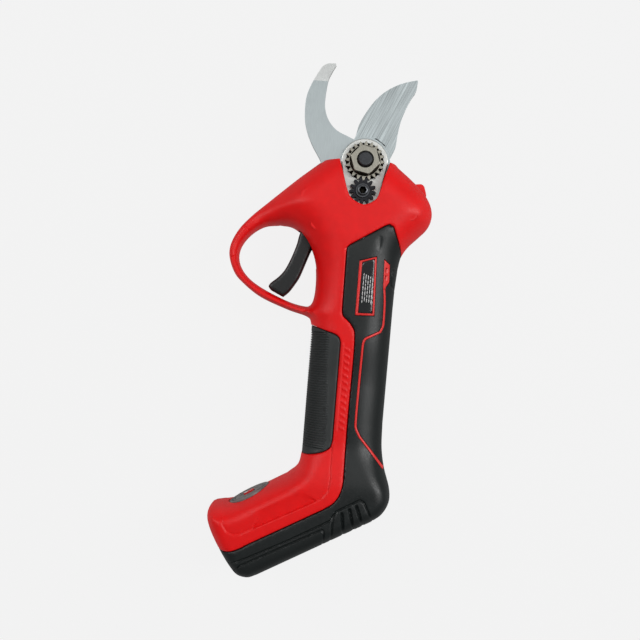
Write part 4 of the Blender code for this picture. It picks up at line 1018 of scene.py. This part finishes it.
def hook():
    hub = arc((0, 0), HUB_RADIUS, 8, 112, 40)
    lower = [(-21.7, -23.5), (-12, -26.5), (12, -26.5), (21.7, -23.5), (21.7, -16.5), (15.5, -3)]
    outline = curve(HOOK_OUTER, 1) + lower + hub + curve(HOOK_INNER, 1)
    holes = [circle((0, 0), BOLT_HOLE), circle((0, LOCK_GEAR_Y), LOCK_HOLE, 24)]
    holes += [circle(place, 1.6, 20) for place in ((-17.5, -19.5), (17.5, -19.5))]

    def top(points):
        return FIXED_BLADE_Z[1] - GROUND_SLOPE * np.clip(points[:, 1] - GROUND_Y, 0, None)
    ground = [(-33.5, 43.7), (-22.5, 43.2)]
    blade = slab("hook_blade", [outline] + holes, FIXED_BLADE_Z[0], top, (), [ground])
    finish(crisp(blade), "blade_steel", "hook_steel", "fixed_blade")


def cutting_blade():
    edge = curve(CUTTING_EDGE, 1.2)
    hub = arc((0, 0), 13.2, 350, 170, 60)
    outline = edge + curve(BLADE_BACK, 1.2) + hub
    notch = [(4.6, 13.6), (9.9, 9.9), (11.1, 9.9), (11, 11), (6.2, 14.4), (5, 14.6)]
    holes = [circle((0, 0), 6.3), notch]
    holes += [circle((0, y), 1.3, 20) for y in (-DRIVE_PIN_PLACE, DRIVE_PIN_PLACE)]

    def bottom(points):
        thin = np.clip(1 - line_distance(points, edge) / EDGE_WIDTH, 0, 1)
        return MOVING_BLADE_Z[0] + EDGE_DEPTH * (thin * ease(points[:, 1], 13, 17))
    rows = np.concatenate([np.array(shifted(edge, -d)) for d in (0.8, 1.8, 3, 4.5, 6, 7, 8)])
    rows = rows[inside(rows, outline) & (distance(rows, segments([outline])) > 0.5)]
    blade = slab("cutting_blade_body", [outline] + holes, bottom, MOVING_BLADE_Z[1], rows)
    finish(crisp(blade), "blade_steel", "blade_steel", "moving_blade", body="cutting_blade")


def plate():
    outline = arc((0, 0), PLATE_RADIUS, -3, 183, 80) + arc((0, -16.9), 9.6, 192, 348, 50)
    holes = [circle((0, 0), BOLT_HOLE), circle((0, LOCK_GEAR_Y), LOCK_HOLE, 24)]
    made = bevel(slab("pivot_plate", [outline] + holes, *HEAD_PLATE_Z), 0.55, 3)
    finish(made, "plate_steel", "plate_steel", "head_plate")


def nut():
    low, high = NUT_GEAR_Z
    bore_loop = circle((0, 0), BOLT_HOLE + 0.3)
    outline = [gear_loop(20, -90, 0.12), bore_loop]
    # A near-black disc between the plate and the gear's teeth is painted shadow, so the gaps
    # between the teeth look dark
    shadow_disc = slab("nut_painted_shadow", [circle((0, 0), 10.4, 80), bore_loop], HEAD_PLATE_Z[1] + 0.02,
                low - 0.02)
    finish(shadow_disc, "black_steel", "painted_shade")
    # The teeth's lower part is near-black as painted shade on their sides; only a thin top layer is
    # bright steel
    shaded_teeth = slab("nut_teeth_painted_shade", outline, low, high - 0.35)
    finish(shaded_teeth, "black_steel", "painted_shade", "gear_nut")
    face = slab("nut_teeth", outline, high - 0.34, high)
    bevel(face, 0.16, 1)
    finish(face, "nut_steel", "nut_steel", "gear_nut")
    # A thin near-black ring at the foot of the hexagon is painted shade that outlines it
    step = ((8.5, high + 0.02), (8.5, high + 0.12), (BOLT_HOLE + 0.2, high + 0.12),
            (BOLT_HOLE + 0.2, high + 0.02))
    ring = turned("nut_shade_ring", step, 64, True)
    finish(ring, "black_steel", "painted_shade")
    body = prism("nut_hexagon", hexagon(16.5, 49), high + 0.14, NUT_TOP_Z)
    cone = turned("nut_cone", ((8.6, 10), (8.6, NUT_TOP_Z - 0.5), (7.8, NUT_TOP_Z + 0.05)), 64)
    boolean(body, "INTERSECT", cone)
    bore = turned("nut_bore", ((BOLT_HOLE - 0.5, 0), (BOLT_HOLE - 0.5, NUT_TOP_Z - 0.5),
                               (BOLT_HOLE + 0.1, NUT_TOP_Z + 0.1)), 64)
    cut(body, bore)
    bevel(body, 0.3, 2, 25)
    finish(body, "nut_steel", "nut_steel", "gear_nut")


def lock():
    teeth = gear_loop(13, 90 + 180 / 13, -0.25)
    gear = slab("lock_teeth", [teeth, circle((0, 0), 2.3, 32)], *LOCK_GEAR_Z)
    bevel(at(gear, 0, LOCK_GEAR_Y), 0.2, 2)
    finish(gear, "black_steel", "black_steel", "lock_gear")
    ring = turned("lock_ring", ((4.0, 16.45), (4.0, 17.2), (3.8, 17.45), (3.4, 17.45), (3.3, 17.2),
                                (2.9, 17.2), (2.9, 16.45)), 64, True)
    finish(crisp(at(ring, 0, LOCK_GEAR_Y)), "black_steel", "hub_steel", "lock_gear")
    profile = ((1.9, 8.5), (1.9, 17.0), (2.8, 17.0), (2.8, 18.7), (2.6, 19.1), (2.35, 19.2))
    screw = turned("lock_screw_body", profile, 64)
    cut(screw, prism("lock_socket", hexagon(4.3, 0), 16.4, 21))
    finish(crisp(at(screw, 0, LOCK_GEAR_Y), 25), "black_steel", "hub_steel", "lock_screw")
    # A near-black disc at the bottom of the socket is painted shade in the hole
    socket_shadow = turned("lock_socket_shadow", ((2.1, 16.45), (2.1, 16.6), (0.5, 16.6)), 32)
    finish(at(socket_shadow, 0, LOCK_GEAR_Y), "black_steel", "painted_shade")


def bolt():
    shank = ((BOLT_RADIUS, -19), (BOLT_RADIUS, NUT_GEAR_Z[1]), (3.95, NUT_GEAR_Z[1] + 0.4),
             (3.95, BOLT_TOP_Z - 0.6), (3.4, BOLT_TOP_Z - 0.05), (3.1, BOLT_TOP_Z),
             (1.2, BOLT_TOP_Z - 0.1))
    finish(crisp(turned("bolt_shank", shank, 64)), "black_steel", "bolt_steel", "pivot_bolt")
    head = slab("bolt_head", [hexagon(15, 15)], *BOLT_HEAD_Z)
    cone = turned("bolt_cone", ((6.4, -24.1), (7.9, -23.0), (7.9, -18)), 64)
    boolean(head, "INTERSECT", cone)
    bevel(head, 0.2, 2, 25)
    finish(head, "black_steel", "black_steel", "pivot_bolt")


# --- Trigger, power button and small parts ---

def trigger():
    boss = arc(TRIGGER_PIVOT, 4, 110, 10, 14)
    outline = curve(TRIGGER, 1.2) + curve(TRIGGER_FRONT, 1.2) + boss
    holes = [circle(TRIGGER_PIVOT, TRIGGER_PIN_RADIUS + GAP, 24)]
    runs = segments([outline])
    closed = outline + outline[:1]
    rows = np.concatenate([np.array(shifted(closed, way)) for d in (0.15, 0.45, 0.9, 1.5, 2.4)
                           for way in (-d, d)])
    grid = np.array([(x, y) for x in np.arange(-48, -19, 1.3) for y in np.arange(-77, -33, 1.3)])
    fill = thinned(np.concatenate((rows, grid)), 0.25)
    fill = fill[inside(fill, outline) & (distance(fill, runs) > 0.1)]

    def half(points):
        return TRIGGER_HALF - rounding_drop(distance(points, runs), 1.7)
    made = slab("trigger_lever", [outline] + holes, lambda p: -half(p), half, fill)
    finish(crisp(made, 50), "black_plastic", "black_plastic", "trigger", body="trigger")


def power_button():
    outer, inner = BEZEL_RADIUS, BUTTON_RADIUS + GAP
    lip = ((outer, -2.5), (outer, -0.1), (outer - 0.35, 0.3), (outer - 1.1, 0.3),
           (outer - 1.5, -0.1), (BUTTON_RADIUS + 1.3, -1.0), (BUTTON_RADIUS + 0.9, 0.25),
           (inner + 0.1, 0.25), (inner, 0.1), (inner, -2.5))
    finish(crisp(foot_top(turned("bezel_ring", lip, 96, True))), "grey_plastic",
           "grey_plastic", "button_bezel")
    profile = ((BUTTON_RADIUS, -2.1), (BUTTON_RADIUS, 0.0), (BUTTON_RADIUS - 0.4, 0.35),
               (BUTTON_RADIUS - 1.6, 0.5), (5.8, 0.35), (5.4, -0.1))
    cap = turned("button_cap", profile, 96)
    pocket = prism("cap_pocket", rectangle(-3.4, -2.1, 3.4, 2.1), -0.6, 3)
    cut(cap, pocket)
    finish(crisp(foot_top(cap)), "grey_plastic", "grey_plastic", "power_button",
           body="power_button")
    lens = prism("button_lens", oblong(3.2, 1.9, 1.5), -0.3, 0.75)
    finish(bevel(foot_top(lens), 0.25), "clear_lens", "red_lens", "indicator_lens",
           body="power_button")
    mark = prism("button_mark", rounded(rectangle(-2.7, -1.3, -0.6, 1.3), 0.9), 0.76, 0.85)
    finish(foot_top(mark), "clear_lens", "white_mark", body="power_button")


def port_cover():
    made = prism("port_plug", oblong(6, 4.5, 1.2), 0, 3.2)
    finish(bevel(foot_front(made, -165.8), 0.5), "black_rubber", "ribbed_rubber", "port_cover")


# Looks of the slots whose look has another name
KEPT_LOOKS = {"red_plastic": "red_shell", "label_face": "label_print", "clear_lens": "red_lens"}


def dress_nodes():
    """Give the CAD pieces that stay their materials."""
    slots = {part["node"]: part["material_slot"] for part in frame["record"]["subparts"]}
    for name, item in frame["nodes"].items():
        look = MATERIALS[KEPT_LOOKS.get(slots[name], slots[name])]
        for place in item.material_slots:
            place.material = look


# --- Studio ---

CAMERA_PLACE = (-0.0178, -0.0894, 0.504)
CAMERA_TURN = radians(4.5)
CAMERA_LENS = 47.37
WORLD_LIGHT = 0.22
FLOOR_REACH = 3.0
FLOOR_BASE = 0.03
FLOOR_LIGHT = 0.865
TOOL_MIDDLE = (-0.018, -0.09, 0.03)
# Name, place, target, size and power, in metres and watts
LAMPS = (("left", (-0.85, 0.25, 0.85), TOOL_MIDDLE, (0.5, 1.0), 5.5),
         ("right", (0.85, 0.1, 0.9), TOOL_MIDDLE, (0.45, 1.0), 9.5),
         ("overhead", (0, 0.35, 1.0), (0, 0.35, 0), (1.0, 0.8), 1.2))


def floor():
    mesh = bpy.data.meshes.new("floor")
    reach = rectangle(-FLOOR_REACH, -FLOOR_REACH, FLOOR_REACH, FLOOR_REACH)
    mesh.from_pydata([(x, y, 0) for x, y in reach], [], [(0, 1, 2, 3)])
    item = added("floor", mesh)
    look = bpy.data.materials.new("studio_floor")
    look.use_nodes = True
    set_inputs(look.node_tree.nodes["Principled BSDF"], {
        "Base Color": (*[FLOOR_BASE] * 3, 1), "Roughness": 1, "Specular IOR Level": 0,
        "Emission Color": (*[FLOOR_LIGHT] * 3, 1), "Emission Strength": 1})
    mesh.materials.append(look)
    item.visible_glossy = False


def lamp(name, place, target, size, power):
    data = bpy.data.lights.new(name, "AREA")
    data.shape = "RECTANGLE"
    data.size, data.size_y = size
    data.energy = power
    item = added(name, data)
    item.location = place
    item.rotation_euler = (Vector(target) - Vector(place)).to_track_quat("-Z", "Y").to_euler()


def studio():
    scene = bpy.context.scene
    scene.view_settings.view_transform = "Standard"
    scene.world = bpy.data.worlds.new("studio")
    scene.world.use_nodes = True
    background = scene.world.node_tree.nodes["Background"]
    set_inputs(background, {"Color": (1, 1, 1, 1), "Strength": WORLD_LIGHT})
    floor()
    for row in LAMPS:
        lamp(*row)
    data = bpy.data.cameras.new("camera")
    data.lens = CAMERA_LENS
    data.sensor_width = 36
    data.clip_start = 0.01
    camera = added("camera", data)
    camera.location = CAMERA_PLACE
    camera.rotation_euler = (0, 0, CAMERA_TURN)
    scene.camera = camera


def main():
    dress_nodes()
    for side, word in ((1, "right"), (-1, "left")):
        housing(side, f"housing_{word}")
        rear_cover(side, f"rear_cover_{word}")
        trims(side, word)
    for build in (label, front_grip, hook, cutting_blade, plate, nut, lock, bolt, trigger,
                  power_button, port_cover):
        build()
    seal("grip_seal", joined(GRIP_BORDER, STEP))
    seal("cover_seal", cover_line(GAP / 2))
    studio()


main()
